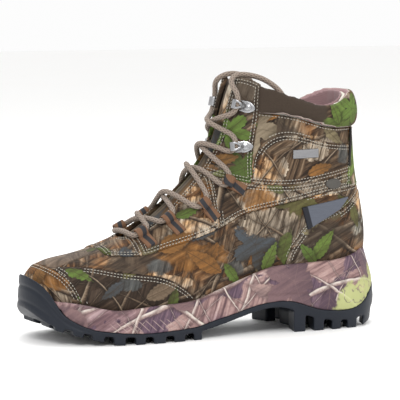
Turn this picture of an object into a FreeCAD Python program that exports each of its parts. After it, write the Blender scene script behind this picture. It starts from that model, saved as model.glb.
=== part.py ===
"""Left insulated hunting boot, drawn in millimetres.

The toe points to -X, the lateral (outer) side faces -Y, and +Z is up. The origin is on the ground,
below the middle of the outsole. The upper is one tube that runs from the toe, under the instep and
round the heel up to the collar. Every layer of the boot (outer panels, stiffeners, insulation,
lining, footbed) is that same tube taken inwards by the thickness of the layers outside it.
"""

import FreeCAD
import Part
import math
import os

V = FreeCAD.Vector

# ---------------------------------------------------------------- driving sizes
OUTSOLE_LENGTH = 304.0
BALL_WIDTH = 109.0
TONGUE_TOP_HEIGHT = 197.0

PANEL = 1.6            # outer fabric and leather panels
STIFFENER = 1.2        # toe puff and heel counter
INSULATION = 3.2       # wadding between the stiffeners and the lining
LINING = 1.0
LAYER_GAP = 0.2        # glue line between two layers
COLLAR_ROLL = 2.2      # how far the padded roll stands out at the top
FOOTBED = 5.5
FOOTBED_CLEARANCE = 0.8

SHANK_THICKNESS = 1.5
SHANK_WIDTH = 22.0
SHANK_LENGTH = 115.0
SHANK_DEPTH = 2.0      # foam between the shank and the upper's sole side

TONGUE_THICKNESS = 7.0
TONGUE_CLEARANCE = 0.5

LACE_DIAMETER = 4.4
AGLET_LENGTH = 16.0
AGLET_WALL = 0.3
LACE_SQUEEZE = 0.15    # how far the lace presses into what it touches

WEBBING_WIDTH = 9.0
WEBBING_THICKNESS = 1.4
WEBBING_LENGTH = 17.0

HOOK_PLATE_LENGTH = 15.0
HOOK_PLATE_WIDTH = 9.0
HOOK_PLATE_THICKNESS = 1.2
HOOK_GAP = 5.6         # room for the lace under the hook's lip
RIVET_RADIUS = 3.2
RIVET_HEIGHT = 1.1

PIPING_RADIUS = 0.9
BADGE_THICKNESS = 2.0

# The outlines below are drawn for this size, and stretched to the driving sizes.
DRAWN_LENGTH = 304.0
DRAWN_WIDTH = 109.0
DRAWN_HEIGHT = 197.0
SX = OUTSOLE_LENGTH / DRAWN_LENGTH
SY = BALL_WIDTH / DRAWN_WIDTH
SZ = TONGUE_TOP_HEIGHT / DRAWN_HEIGHT

FAR = 400.0            # reaches past the whole boot


# ---------------------------------------------------------------- small helpers
def side_point(x, z, y=0.0):
    """A point drawn in the side view."""
    return V(x * SX, y, z * SZ)


def spline_edge(points):
    curve = Part.BSplineCurve()
    curve.interpolate(points)
    return curve.toShape()


def side_prism(runs, y_from, y_to):
    """A prism across the boot. Each run of its side outline is ("spline" or "line", points)."""
    edges = []
    first = None
    last = None
    for kind, points in runs:
        run = [side_point(x, z, y_from) for x, z in points]
        if last is not None and last.distanceToPoint(run[0]) > 1e-6:
            edges.append(Part.makeLine(last, run[0]))
        if kind == "spline":
            edges.append(spline_edge(run))
        else:
            for a, b in zip(run, run[1:]):
                edges.append(Part.makeLine(a, b))
        first = first or run[0]
        last = run[-1]
    if last.distanceToPoint(first) > 1e-6:
        edges.append(Part.makeLine(last, first))
    face = Part.Face(Part.Wire(edges))
    return face.extrude(V(0, y_to - y_from, 0))


def lateral_prism(runs):
    return side_prism(runs, -FAR, 0.0)


def through_prism(runs):
    return side_prism(runs, -FAR, FAR)


def solids_of(shape, smallest=20.0):
    """The shape's solids, without the slivers that a cut leaves."""
    return [s for s in shape.Solids if s.Volume > smallest]


def as_one(shape, smallest=20.0):
    found = solids_of(shape, smallest)
    if len(found) == 1:
        return found[0]
    return Part.makeCompound(found)


# ---------------------------------------------------------------- the tube of the upper
# Each station is a flat section of the upper: its top point and its bottom point in the side view,
# the middle across the boot, the half widths on the lateral and medial sides, how far up the section
# it is widest, and how square its upper and lower halves are (2 is an ellipse).
STATIONS = [
    # top x, z      bottom x, z    middle lateral medial widest square_up square_low
    ((-143.5, 44.0), (-143.5, 30.0), 7.5, 8.0, 8.0, 0.45, 2.0, 2.0),
    ((-141.5, 50.5), (-141.5, 24.0), 7.0, 16.5, 16.5, 0.42, 2.1, 2.2),
    ((-136.0, 57.0), (-136.0, 19.5), 6.0, 25.5, 25.5, 0.40, 2.2, 2.4),
    ((-125.5, 62.0), (-125.5, 16.5), 5.0, 33.5, 33.5, 0.38, 2.3, 2.6),
    ((-108.0, 65.5), (-107.0, 14.0), 2.5, 42.5, 42.5, 0.35, 2.3, 3.0),
    ((-86.0, 71.5), (-84.0, 13.0), 0.5, 47.5, 47.5, 0.33, 2.2, 3.2),
    ((-62.0, 81.5), (-57.0, 13.0), -0.5, 48.5, 48.5, 0.32, 2.1, 3.4),
    ((-38.0, 98.5), (-28.0, 14.5), -1.5, 45.0, 44.0, 0.32, 2.0, 3.4),
    ((-17.0, 118.5), (2.0, 18.5), -2.5, 40.5, 39.0, 0.34, 2.0, 3.3),
    ((-3.0, 134.0), (38.0, 24.5), -2.0, 36.5, 35.5, 0.38, 2.0, 3.2),
    ((7.5, 150.0), (82.0, 30.0), -1.0, 35.5, 35.0, 0.42, 2.0, 3.2),
    ((12.5, 163.0), (128.0, 36.5), 0.0, 35.0, 35.0, 0.46, 2.1, 3.1),
    ((16.5, 176.0), (141.5, 68.0), 0.0, 36.0, 36.0, 0.50, 2.2, 2.8),
    ((20.5, 188.0), (135.5, 110.0), 0.0, 36.5, 36.5, 0.50, 2.3, 2.6),
    ((25.5, 200.0), (130.0, 152.0), 0.0, 37.5, 37.5, 0.50, 2.4, 2.6),
    ((32.0, 216.0), (128.5, 200.0), 0.0, 38.5, 38.5, 0.50, 2.4, 2.6),
]
SECTION_POINTS = 24
TOE_STATIONS = 6       # the stations that move back as the tube gets smaller


def power(value, square):
    return math.copysign(abs(value) ** (2.0 / square), value)


def section_points(number, inset, rise=0.0):
    """The tube's section at a station, taken inwards by inset. rise lifts it past the outer tube's end."""
    top, bottom, middle, lateral, medial, widest, up_square, low_square = STATIONS[number]
    back = inset * max(0.0, 1.0 - number / float(TOE_STATIONS))
    a = side_point(*top) + V(back, 0, rise)
    b = side_point(*bottom) + V(back, 0, rise)
    along = a - b
    length = along.Length
    along.normalize()
    a = a - along * inset
    b = b + along * inset
    length -= 2.0 * inset
    centre = b + along * (length * widest)
    up = length * (1.0 - widest)
    low = length * widest
    points = []
    for k in range(SECTION_POINTS):
        angle = -math.pi / 2.0 + 2.0 * math.pi * k / SECTION_POINTS
        c, s = math.cos(angle), math.sin(angle)
        square = up_square if s > 0 else low_square
        half = (medial if c > 0 else lateral) * SY - inset
        height = up if s > 0 else low
        y = middle * SY + half * power(c, square)
        points.append(centre + along * (height * power(s, square)) + V(0, y, 0))
    return points + [points[0]]


def tube(inset, rise=0.0):
    """The closed solid inside the upper's surface, taken inwards by inset."""
    last = len(STATIONS) - 1
    grid = [section_points(n, inset, rise if n == last else 0.0) for n in range(last + 1)]
    surface = Part.BSplineSurface()
    surface.interpolate(grid)
    side = surface.toShape()
    u0, u1, _, _ = surface.bounds()
    ends = [Part.Face(Part.Wire([surface.uIso(u).toShape()])) for u in (u0, u1)]
    shell = Part.makeShell([side] + ends)
    shell.sewShape()
    solid = Part.Solid(Part.Shell(shell.Faces))
    if solid.Volume < 0:
        solid.reverse()
    return solid


def layer(outer_inset, inner_inset):
    """The wall between two insets of the tube, closed at the toe and open at the top."""
    return tube(outer_inset).cut(tube(inner_inset, 3.0))


# ---------------------------------------------------------------- outlines in the side view (x, z)
TOE_SEAM = [(-139, 78), (-137.5, 60.6), (-133.5, 58.5), (-129, 56), (-123, 50.5), (-118, 42),
            (-114, 32), (-110, 0)]
LOWER_VAMP_SEAM = [(-140, 58), (-118, 58.5), (-104, 58), (-86, 55), (-67, 52.5), (-50, 49.5), (-38, 44),
                   (-28, 37), (-17, 24), (-12, 10)]
FACING_SEAM = [(-89, 66.5), (-78, 66), (-63, 66.5), (-46, 71), (-31, 75), (-17, 79), (-5, 83), (6, 87),
               (18, 93), (44.5, 99.4), (72, 104.6), (97, 110), (117, 112.5), (160, 118)]
ANKLE_SEAM = [(-40, 141), (-10, 131), (8, 124), (18, 121.6), (30, 119), (45, 117), (72, 117), (91.5, 120),
              (119, 125), (160, 131)]
THROAT_FRONT = -89     # where the throat panel starts
THROAT_REAR = -63      # where it meets the facings
FACING_REAR = 1        # where the facings meet the ankle bands
OVERLAY_OUTLINE = [(33, 119.5), (34, 126), (36, 136), (40, 146), (47, 153.5), (58, 157), (72, 155.5),
                   (91, 150.5), (121.5, 147), (160, 144)]
COLLAR_FRONT = [(41.5, 230), (40.5, 195), (40, 185), (39, 174), (37.5, 163), (36, 152), (33, 119)]
COLLAR_SPLIT = [(30, 175.5), (41, 174), (57.5, 172), (75, 168), (96, 162), (119, 161), (160, 161)]
TOP_LINE = [(-20, 202), (20, 202), (33.5, 200.5), (40, 197), (56, 190.5), (73, 185), (88, 180.5),
            (100, 180.5), (112, 185), (121, 190), (128, 191.5), (150, 190)]
HEEL_SEAM = [(58, 30), (60.5, 55), (64, 65), (71, 74), (78, 81.5), (87, 86), (96, 89), (108.5, 94),
             (118, 100), (160, 116)]
BACKSTAY_FRONT = [(104, 60), (109, 92), (114.5, 110), (118, 130), (120, 150), (120.5, 240)]
PLANTAR = [(s[1][0], s[1][1]) for s in STATIONS[:12]]
MIDSOLE_TOP = [(-160, 36), (-131.5, 33.5), (-112.5, 31), (-88, 26.5), (-74, 27.5), (-45, 29.5), (-20, 32),
               (-8, 36), (10, 42), (29, 48), (45, 52.5), (63, 54), (81, 54.5), (99, 55),
               (117, 57.5), (129, 62), (141, 68), (160, 70)]
OUTSOLE_TOP = [(-170, 53), (-146.5, 51), (-139, 43), (-133.5, 32), (-129, 24), (-120, 17.5),
               (-111, 13.4), (-95.5, 10.4), (-74, 8.4), (-55, 8.4), (-35, 9.4), (-20, 10.8),
               (-13, 12.6), (10, 17.7), (29, 22.6), (45.6, 25), (63.5, 24.4), (75, 21), (87.5, 17),
               (99.6, 15.4), (117.7, 15.4), (130, 20), (136, 25), (170, 36)]
OUTSOLE_ROOT = [(-160, 34), (-150, 26), (-141, 17.5), (-126, 12.5), (-111, 9), (-95.5, 6.9), (-74, 5.8),
                (-20, 6.6), (10, 13), (29, 18), (45.6, 20.5), (58, 19.5), (70, 15), (87.5, 9.5), (130, 8.5),
                (141, 12), (153, 22), (160, 28)]
TREAD = [(-160, 26), (-148, 18), (-138, 12.5), (-124, 8.5), (-110, 5), (-98, 2), (-88, 0), (128, 0),
         (140, 2.6), (150, 8.5), (160, 14)]
SOLE_PLAN = [(-152, 7), (-149, -12), (-139, -28), (-121, -42.5), (-96, -51.5), (-70, -54.5),
             (-45, -53.5), (-20, -49.5), (10, -45), (45, -42.5), (80, -42), (110, -40), (132, -33),
             (146, -19), (152, 0), (146, 18), (132, 32), (110, 38.5), (80, 40), (45, 39), (15, 39.5),
             (-10, 43), (-35, 49), (-60, 53.5), (-85, 54.5), (-110, 51.5), (-131, 41), (-146, 25)]
THROAT_PLAN = [(-70, 0), (-67, -11), (-60, -15.5), (-40, -16.5), (-15, -14.5), (0, -12), (14, -10.5),
               (50, -10.5)]
# Lugs: x and length of a pair at the edges, and x, y, length and width in the middle.
EDGE_LUGS = [(-134, 7), (-119, 8), (-103, 9), (-86, 9), (-69, 8), (-53, 10), (-36, 9), (-20, 7),
             (70, 10), (87, 9), (103, 8), (118, 9), (134, 9), (146, 6)]
CENTRE_LUGS = [(-128, 0, 7, 20), (-111, 0, 7, 26), (-94, 0, 7, 28), (-77, 0, 7, 30), (-60, 0, 7, 30),
               (-44, 0, 7, 28), (-28, 0, 7, 24), (80, 0, 7, 22), (96, 0, 7, 22), (112, 0, 7, 22),
               (127, 0, 6, 16)]
LUG_TURN = 14.0
SOLE_TAPER = 0.00117   # how much smaller the sole's outline gets per millimetre of height, above the tread
BADGE = [(74, 98), (79, 80.5), (107, 95.5), (115.5, 105)]
RECTANGLE_LABEL = [(66, 138), (87, 138.6), (87, 144.8), (66, 144.2)]


def raised(points, rise):
    return [(x, z + rise) for x, z in points]


def band(points, kind, edge):
    """The region between a line, carried on level at both ends, and a level far above or below it."""
    z0, z1 = points[0][1], points[-1][1]
    return through_prism([("line", [(-300.0, z0), points[0]]), (kind, points),
                          ("line", [points[-1], (300.0, z1), (300.0, edge), (-300.0, edge)])])


def above(points, kind="spline"):
    return band(points, kind, 400.0)


def below(points, kind="spline"):
    return band(points, kind, -100.0)


def ahead(points, kind="spline", front=-300.0):
    """The region on the toe's side of a line that runs from its top down."""
    return through_prism([(kind, points), ("line", [(front, points[-1][1]), (front, points[0][1])])])


def plan_prism(points, closed_spline=False, z_from=-50.0, z_to=400.0):
    run = [V(x * SX, y * SY, z_from) for x, y in points]
    if closed_spline:
        curve = Part.BSplineCurve()
        curve.interpolate(run, PeriodicFlag=True)
        wire = Part.Wire([curve.toShape()])
    else:
        wire = Part.makePolygon(run + [run[0]])
    return Part.Face(wire).extrude(V(0, 0, z_to - z_from))


def dorsal(drop):
    """The front and top line of the upper, lowered towards the inside."""
    line = []
    for top, bottom, *_ in STATIONS[3:]:
        a, b = V(top[0], 0, top[1]), V(bottom[0], 0, bottom[1])
        along = (b - a)
        along.normalize()
        p = a + along * drop
        line.append((p.x, p.z))
    return line


def throat(widen, start, drop):
    """The space over the tongue: both sides of the middle, down to a depth below the front line."""
    run = [(start, 0)] + [(x + (start + 70 if x < -55 else 0), y - widen) for x, y in THROAT_PLAN[1:]]
    outline = run + [(x, -y) for x, y in reversed(run[1:])]
    line = dorsal(drop)
    front = [(line[-1][0], 400.0), (-300.0, 400.0), (-300.0, line[0][1])]
    return plan_prism(outline).common(through_prism([("line", line), ("line", front)]))


def lateral_half(shape):
    return shape.common(Part.makeBox(2 * FAR, FAR, 2 * FAR, V(-FAR, -FAR, -FAR)))


def medial_half(shape):
    return shape.common(Part.makeBox(2 * FAR, FAR, 2 * FAR, V(-FAR, 0, -FAR)))


PARTS = {}


def keep(name, shape, smallest=20.0):
    shape = as_one(shape, smallest)
    PARTS[name] = shape
    return shape


# ---------------------------------------------------------------- zones of the upper
BOARD_TOP = PANEL + LAYER_GAP + STIFFENER
BOARD_LINE = [(-170, 25)] + raised(PLANTAR[2:], BOARD_TOP) + [(160, 41)]

over_board = above(BOARD_LINE)
under_board = below(BOARD_LINE)
under_rim = below(TOP_LINE)
toe_zone = ahead(TOE_SEAM)
heel_zone = below(HEEL_SEAM).common(Part.makeBox(FAR, 2 * FAR, 2 * FAR, V(58 * SX, -FAR, -FAR)))
throat_gap = throat(0.0, -70, 30)
ahead_of_throat = Part.makeBox(FAR, 2 * FAR, 2 * FAR, V(THROAT_FRONT * SX - FAR, -FAR, -FAR))
over_facing_seam = above(FACING_SEAM).cut(ahead_of_throat)
over_vamp_seam = above(LOWER_VAMP_SEAM)
over_ankle_seam = above(ANKLE_SEAM)
over_overlay = above(OVERLAY_OUTLINE)
over_split = above(COLLAR_SPLIT)
ahead_of_collar = ahead(COLLAR_FRONT)
ahead_of_backstay = ahead(BACKSTAY_FRONT[::-1])

thick = layer(0.0, BOARD_TOP)
thin = layer(0.0, PANEL)
stiff = layer(PANEL + LAYER_GAP, BOARD_TOP)

keep("insole_board", thick.common(under_board))
keep("toe_cap", thin.common(toe_zone).common(over_board))
keep("toe_puff", stiff.common(toe_zone).common(over_board))
keep("heel_overlay", thin.common(heel_zone).common(over_board))
keep("heel_counter", stiff.common(heel_zone).common(over_board))

middle = thick.common(over_board).common(under_rim).cut(toe_zone).cut(heel_zone).cut(throat_gap)
upper = middle.common(over_facing_seam)
lower = middle.cut(over_facing_seam)

strip = plan_prism([(-160, -15.5), (-60, -12), (-60, 12), (-160, 15.5)], z_from=40)
keep("vamp", lower.common(strip))
lower = lower.cut(strip)
before_facing = Part.makeBox(FAR, 2 * FAR, 2 * FAR, V(THROAT_REAR * SX - FAR, -FAR, -FAR))
keep("throat_panel", upper.common(before_facing))
upper = upper.cut(before_facing)

over_rear = upper.cut(ahead_of_backstay)
upper = upper.common(ahead_of_backstay)
keep("backstay", over_rear.cut(over_split))

before_band = Part.makeBox(FAR, 2 * FAR, 2 * FAR, V(FACING_REAR * SX - FAR, -FAR, -FAR))
for side, half in (("lateral", lateral_half), ("medial", medial_half)):
    low = half(lower)
    keep("lower_vamp_" + side, low.cut(over_vamp_seam))
    keep("quarter_" + side, low.common(over_vamp_seam))
    high = half(upper)
    bands = high.cut(over_ankle_seam)
    high = high.common(over_ankle_seam)
    keep("facing_" + side, bands.common(before_band))
    keep("ankle_band_" + side, bands.cut(before_band))
    keep("upper_facing_" + side, high.common(ahead_of_collar))
    high = high.cut(ahead_of_collar)
    keep("ankle_panel_" + side, high.cut(over_overlay))
    keep("collar_band_" + side, high.common(over_overlay).cut(over_split))

roll = layer(-COLLAR_ROLL, BOARD_TOP).common(over_split).common(under_rim)
keep("collar_roll", roll.cut(ahead_of_collar))

# ---------------------------------------------------------------- insulation, lining and footbed
INSULATION_IN = BOARD_TOP + LAYER_GAP + INSULATION
LINING_OUT = INSULATION_IN + LAYER_GAP
LINING_IN = LINING_OUT + LINING
tongue_room = throat(14.0, -66, 36)
wadding = layer(BOARD_TOP + LAYER_GAP, INSULATION_IN).common(below(raised(TOP_LINE, -1.5))).cut(tongue_room)
keep("insulation", wadding.cut(PARTS["collar_roll"]))
keep("lining", layer(LINING_OUT, LINING_IN).common(under_rim).cut(tongue_room))

footbed_inset = LINING_IN + FOOTBED_CLEARANCE
footbed_line = [(-170, 34)] + raised(PLANTAR[2:], footbed_inset + FOOTBED) + [(160, 51)]
keep("footbed", tube(footbed_inset).common(below(footbed_line)))

# ---------------------------------------------------------------- tongue
TONGUE_OUT = BOARD_TOP + TONGUE_CLEARANCE
tongue_zone = throat(9.0, -62, 34)
tongue_zone = tongue_zone.common(Part.makeBox(FAR, 2 * FAR, FAR, V(-300, -FAR, TONGUE_TOP_HEIGHT - FAR)))
TONGUE_IN = TONGUE_OUT + TONGUE_THICKNESS
keep("tongue_cover", layer(TONGUE_OUT, TONGUE_OUT + 1.1).common(tongue_zone))
keep("tongue_padding", layer(TONGUE_OUT + 1.3, TONGUE_IN - 1.2).common(tongue_zone))
keep("tongue_lining", layer(TONGUE_IN - 1.0, TONGUE_IN).common(tongue_zone))

# ---------------------------------------------------------------- sole
lasted = tube(-0.1)


def sole_wire(z, size):
    points = [V((-30 + (x + 30) * size) * SX, y * size * SY, z) for x, y in SOLE_PLAN]
    curve = Part.BSplineCurve()
    curve.interpolate(points, PeriodicFlag=True)
    return Part.Wire([curve.toShape()])


sole_plan = Part.makeLoft([sole_wire(22 * SZ, 1.0), sole_wire(82 * SZ, 1.0 - SOLE_TAPER * 60)], True, True)
sole_plan = sole_plan.fuse(plan_prism(SOLE_PLAN, True, -50.0, 22 * SZ)).removeSplitter()
shank_line = raised(PLANTAR[1:], -SHANK_DEPTH)
shank = below(shank_line).cut(below(raised(shank_line, -SHANK_THICKNESS)))
shank_corner = V(-42 * SX, -SHANK_WIDTH / 2.0, -50)
keep("shank", shank.common(Part.makeBox(SHANK_LENGTH, SHANK_WIDTH, FAR, shank_corner)))

midsole = sole_plan.common(above(OUTSOLE_TOP)).common(below(MIDSOLE_TOP)).cut(lasted)
keep("midsole", midsole.cut(PARTS["shank"]), 500.0)

base = sole_plan.common(below(OUTSOLE_TOP)).common(above(OUTSOLE_ROOT)).cut(lasted)
lug_band = sole_plan.common(above(TREAD, "line")).common(below(raised(OUTSOLE_ROOT, 0.6)))


def block(x, y, length, width, turn):
    box = Part.makeBox(length, width, 200, V(-length / 2.0, -width / 2.0, -50))
    box.rotate(V(0, 0, 0), V(0, 0, 1), turn)
    box.translate(V(x * SX, y * SY, 0))
    return box


blocks = []
for x, length in EDGE_LUGS:
    for sign in (-1, 1):
        blocks.append(block(x, sign * 40, length, 38, sign * LUG_TURN))
for x, y, length, width in CENTRE_LUGS:
    blocks.append(block(x, y, length, width, 0))
lugs = lug_band.common(Part.makeCompound(blocks))
keep("outsole", base.fuse(lugs.Solids).removeSplitter().cut(PARTS["shank"]), 200.0)


# ---------------------------------------------------------------- trims on the outside of the upper
def patch(prism, outer, inner=-0.1):
    """A piece that lies on the panels: as thick as the step from inner to outer, inside a prism."""
    return tube(outer).common(prism).cut(tube(inner, 8.0))


keep("heel_badge", patch(lateral_prism([("line", BADGE)]), -BADGE_THICKNESS))
keep("rectangle_label", patch(lateral_prism([("line", RECTANGLE_LABEL)]), -0.8))
oval = Part.Ellipse(V(101.5 * SX, 0, 116.5 * SZ), 6.4, 3.4).toShape()
oval.rotate(V(101.5 * SX, 0, 116.5 * SZ), V(1, 0, 0), 90)
oval = Part.Face(Part.Wire([oval])).extrude(V(0, -FAR, 0))
keep("oval_label", patch(oval, -0.5), 1.0)
piping_line = [(x, z) for x, z in BACKSTAY_FRONT[3:5]] + [(120.3, 160)]
piping_band = [("line", piping_line), ("line", [(x + 2 * PIPING_RADIUS, z) for x, z in piping_line[::-1]])]
piping = patch(through_prism(piping_band), -2 * PIPING_RADIUS)
for side, half in (("lateral", lateral_half), ("medial", medial_half)):
    keep("piping_" + side, half(piping), 2.0)

# ---------------------------------------------------------------- lacing hardware
outer_grid = [section_points(n, 0.0) for n in range(len(STATIONS))]
outer_surface = Part.BSplineSurface()
outer_surface.interpolate(outer_grid)


def on_upper(x, y, z):
    """The nearest point of the upper's surface, and the direction away from the foot there."""
    u, v = outer_surface.parameter(V(x * SX, y * SY, z * SZ))
    point = outer_surface.value(u, v)
    normal = outer_surface.normal(u, v)
    if normal.dot(V(0, point.y, 0) + V(-30, 0, 30)) < 0:
        normal = normal * -1.0
    return point, normal


class Station:
    """A place for a loop or hook: across points to the throat, along up its edge, out off the boot."""

    def __init__(self, x, y, z, dx, dz):
        self.point, self.out = on_upper(x, y, z)
        along = V(dx, 0, dz)
        along = along - self.out * along.dot(self.out)
        self.along = along.normalize()
        self.across = self.along.cross(self.out).normalize()
        if self.across.y * y > 0:
            self.across = self.across * -1.0

    def place(self, shape):
        """Moves a shape drawn with x across, y along and z out to this station."""
        y = self.out.cross(self.across)
        matrix = FreeCAD.Matrix(self.across.x, y.x, self.out.x, self.point.x,
                                self.across.y, y.y, self.out.y, self.point.y,
                                self.across.z, y.z, self.out.z, self.point.z, 0, 0, 0, 1)
        return shape.transformed(matrix, True)


LACE_RADIUS = LACE_DIAMETER / 2.0
LACE_HEIGHT = LACE_RADIUS + WEBBING_THICKNESS + 0.5

# Loops and hooks from the toe up: x, half distance apart, z, and the direction of the throat's edge.
LOOP_PLACES = [(-57, 21, 80, 1.0, 0.45), (-36, 25, 92, 1.0, 0.6), (-9, 29, 102, 1.0, 0.85),
               (12, 31, 121, 0.5, 1.0)]
HOOK_PLACES = [(22, 27, 149, 0.12, 1.0), (26, 23, 180, 0.3, 1.0)]
loop_stations = {}
hook_stations = {}
for side, sign in (("lateral", -1), ("medial", 1)):
    loop_stations[side] = [Station(x, sign * y, z, dx, dz) for x, y, z, dx, dz in LOOP_PLACES]
    hook_stations[side] = [Station(x, sign * y, z, dx, dz) for x, y, z, dx, dz in HOOK_PLACES]

webbing_skin = tube(-2.0 * WEBBING_THICKNESS)
webbing_core = tube(-0.1, 8.0)


def webbing_loop(station):
    """A folded strip: its tail lies on the facing and its fold holds the lace."""
    half = WEBBING_WIDTH / 2.0
    outer = LACE_HEIGHT + 0.35
    tail = Part.makeBox(WEBBING_LENGTH - 2.0, WEBBING_WIDTH, 30, V(2.0 - WEBBING_LENGTH, -half, -15))
    tail = webbing_skin.common(station.place(tail)).cut(webbing_core)
    fold = Part.makeCylinder(outer, WEBBING_WIDTH, V(0, -half, LACE_HEIGHT), V(0, 1, 0))
    bore_foot = V(0, -half - 1, LACE_HEIGHT)
    bore = Part.makeCylinder(outer - WEBBING_THICKNESS, WEBBING_WIDTH + 2, bore_foot, V(0, 1, 0))
    loop = tail.fuse(station.place(fold).cut(webbing_core)).cut(station.place(bore))
    return max(loop.Solids, key=lambda s: s.Volume)


def speed_hook(station):
    """A stamped hook: a plate that is riveted down, and a lip that curls back over the lace."""
    w = HOOK_PLATE_WIDTH * 0.78
    t = HOOK_PLATE_THICKNESS
    middle = t + HOOK_GAP / 2.0
    plate = Part.makeBox(HOOK_PLATE_LENGTH - 3, w, t, V(-9.0, -w / 2.0, 0))
    ring = Part.makeCylinder(middle, w, V(3.0, -w / 2.0, middle), V(0, 1, 0))
    ring = ring.cut(Part.makeCylinder(HOOK_GAP / 2.0, w + 2, V(3.0, -w / 2.0 - 1, middle), V(0, 1, 0)))
    ring = ring.common(Part.makeBox(20, 40, 40, V(3.0, -20, -5)))
    lip = Part.makeBox(5.0, w, t, V(-2.0, -w / 2.0, t + HOOK_GAP))
    body = plate.fuse([ring, lip])
    body.translate(V(0, 0, 0.15))
    return station.place(body)


def rivet(station):
    top = HOOK_PLATE_THICKNESS + 0.15
    head = Part.makeCylinder(RIVET_RADIUS, RIVET_HEIGHT, V(-5.6, 0, top))
    rim = [e for e in head.Edges if e.BoundBox.ZMin > top + RIVET_HEIGHT - 1e-6]
    return station.place(head.makeFillet(RIVET_HEIGHT * 0.8, rim))


for side in ("lateral", "medial"):
    keep("webbing_loops_" + side, Part.makeCompound([webbing_loop(s) for s in loop_stations[side]]), 5.0)
both = hook_stations["lateral"] + hook_stations["medial"]
keep("speed_hooks", Part.makeCompound([speed_hook(s) for s in both]), 5.0)
keep("hook_rivets", Part.makeCompound([rivet(s) for s in both]), 5.0)


# ---------------------------------------------------------------- lace
# Where the lace goes, from its lateral end to its medial end: x, y and z, as in the side view.
# Each loop or hook has a point before it and a point after it.
LACE_ROUTE = [
    # from inside the collar up and over the tongue's lateral shoulder
    (70, -25, 140), (68, -26, 158), (67, -25, 175), (62, -23.5, 190), (50, -16, 200.5),
    (37, -9.5, 204), (27, -9.5, 203.5), (20.5, -14.5, 198),
    # lateral hook 6, over to the medial side
    (25, -23, 187.5), (21.5, -22.5, 174), (14, -10.5, 170.5), (10.5, 1, 166.5), (12.5, 12.5, 161.5),
    # medial hook 5, back
    (22, 24, 156), (20, 24.5, 142), (6.5, 11, 147.5), (2, -2.5, 146), (4, -16.5, 140),
    # lateral loop 4, over
    (15.5, -30, 127), (8.5, -32.5, 115.5), (-4, -17.5, 130), (-9, -2, 131.5), (-9, 13.5, 124),
    # medial loop 3, back
    (-3.5, 28.5, 106.5), (-14.5, 30, 98), (-25, 15.5, 108), (-30.5, 1.5, 109), (-32.5, -13, 105.5),
    # lateral loop 2, over
    (-32, -27, 98), (-43.5, -26.5, 90.5), (-47.5, -14.5, 92.5), (-50.5, -2, 92.5), (-52, 10.5, 90.5),
    # medial loop 1 and the bar across the toe end
    (-52.5, 22.5, 86), (-64.5, 22.5, 80), (-65.5, 11, 82), (-66, 0, 82.5), (-66, -11, 82),
    # lateral loop 1, over the first strand
    (-65, -22.5, 80), (-52.5, -22.5, 86.5), (-52, -10.5, 90.5), (-53, 1.5, 97), (-47, 13.5, 92.5),
    # medial loop 2, back
    (-42.5, 25.5, 89), (-30.5, 25.5, 96), (-32, 10.5, 105.5), (-32.5, -4.5, 114.5), (-25, -19.5, 109),
    # lateral loop 3, over
    (-16, -34.5, 100.5), (-5, -33, 108.5), (-10, -17.5, 124.5), (-12.5, -2, 135.5), (-4, 13.5, 129),
    # medial loop 4, back
    (9.5, 29, 114), (16, 27.5, 126), (5, 14.5, 140), (-1.5, 1, 150.5), (6.5, -12, 148.5),
    # lateral hook 5, over
    (19.5, -25, 142), (22, -24, 155.5), (12.5, -12.5, 162), (5.5, -1, 167.5), (14, 10.5, 170.5),
    # medial hook 6
    (22, 22, 174), (25, 23, 187.5),
    # over the tongue's medial shoulder and down inside the collar
    (20.5, 14.5, 198), (27, 9.5, 203.5), (37, 9.5, 204), (50, 16, 200.5), (62, 23.5, 190),
    (67, 25, 175), (68, 26, 158), (70, 25, 140),
]


def cord(points, radius):
    """A round cord: straight runs joined by arcs that touch them."""
    edges = []
    here = points[0]
    for before, corner, after in zip(points, points[1:], points[2:]):
        into, away = corner - before, after - corner
        reach = 0.45 * min(into.Length, away.Length)
        into.normalize()
        away.normalize()
        turn = into.getAngle(away)
        start, end = corner - into * reach, corner + away * reach
        bend = reach / math.tan(turn / 2.0)
        bisector = (away - into).normalize()
        middle = corner + bisector * (bend / math.cos(turn / 2.0) - bend)
        edges.append(Part.makeLine(here, start))
        edges.append(Part.Arc(start, middle, end).toShape())
        here = end
    edges.append(Part.makeLine(here, points[-1]))
    profile = Part.Wire([Part.makeCircle(radius, points[0], points[1] - points[0])])
    return Part.Wire(edges).makePipeShell([profile], True, False)


route = [side_point(x, z, y * SY) for x, y, z in LACE_ROUTE]
keep("lace", cord(route, LACE_RADIUS))
lace_room = cord(route, LACE_RADIUS + LACE_SQUEEZE)

aglets = []
for end, after in ((route[0], route[1]), (route[-1], route[-2])):
    axis = (after - end).normalize()
    sleeve = Part.makeCylinder(LACE_RADIUS + LACE_SQUEEZE + AGLET_WALL, AGLET_LENGTH, end, axis)
    aglets.append(sleeve.cut(lace_room))
keep("aglets", Part.makeCompound(aglets), 5.0)

# The lace presses a shallow groove into whatever it lies on.
for side in ("lateral", "medial"):
    for name in ("webbing_loops_", "facing_", "ankle_band_", "upper_facing_"):
        keep(name + side, PARTS[name + side].cut(lace_room), 5.0)
facings = PARTS["upper_facing_lateral"].fuse(PARTS["upper_facing_medial"])
keep("speed_hooks", PARTS["speed_hooks"].cut(lace_room).cut(facings), 5.0)

os.makedirs("parts", exist_ok=True)
for name, shape in PARTS.items():
    shape.exportStep("parts/" + name + ".step")
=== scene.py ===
# %% [markdown]
# # An insulated hunting boot, dressed for the camera
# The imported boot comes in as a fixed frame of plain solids. This lesson gives each one its real
# surface: cut and stitched fabric panels, padded collar and tongue, a printed foam midsole, a
# lugged rubber outsole, a braided lace, webbing loops and nickel hooks. All lengths are in metres.
# The toe points to -X, the outer (lateral) side of this left boot faces -Y, and +Z is up.

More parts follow.
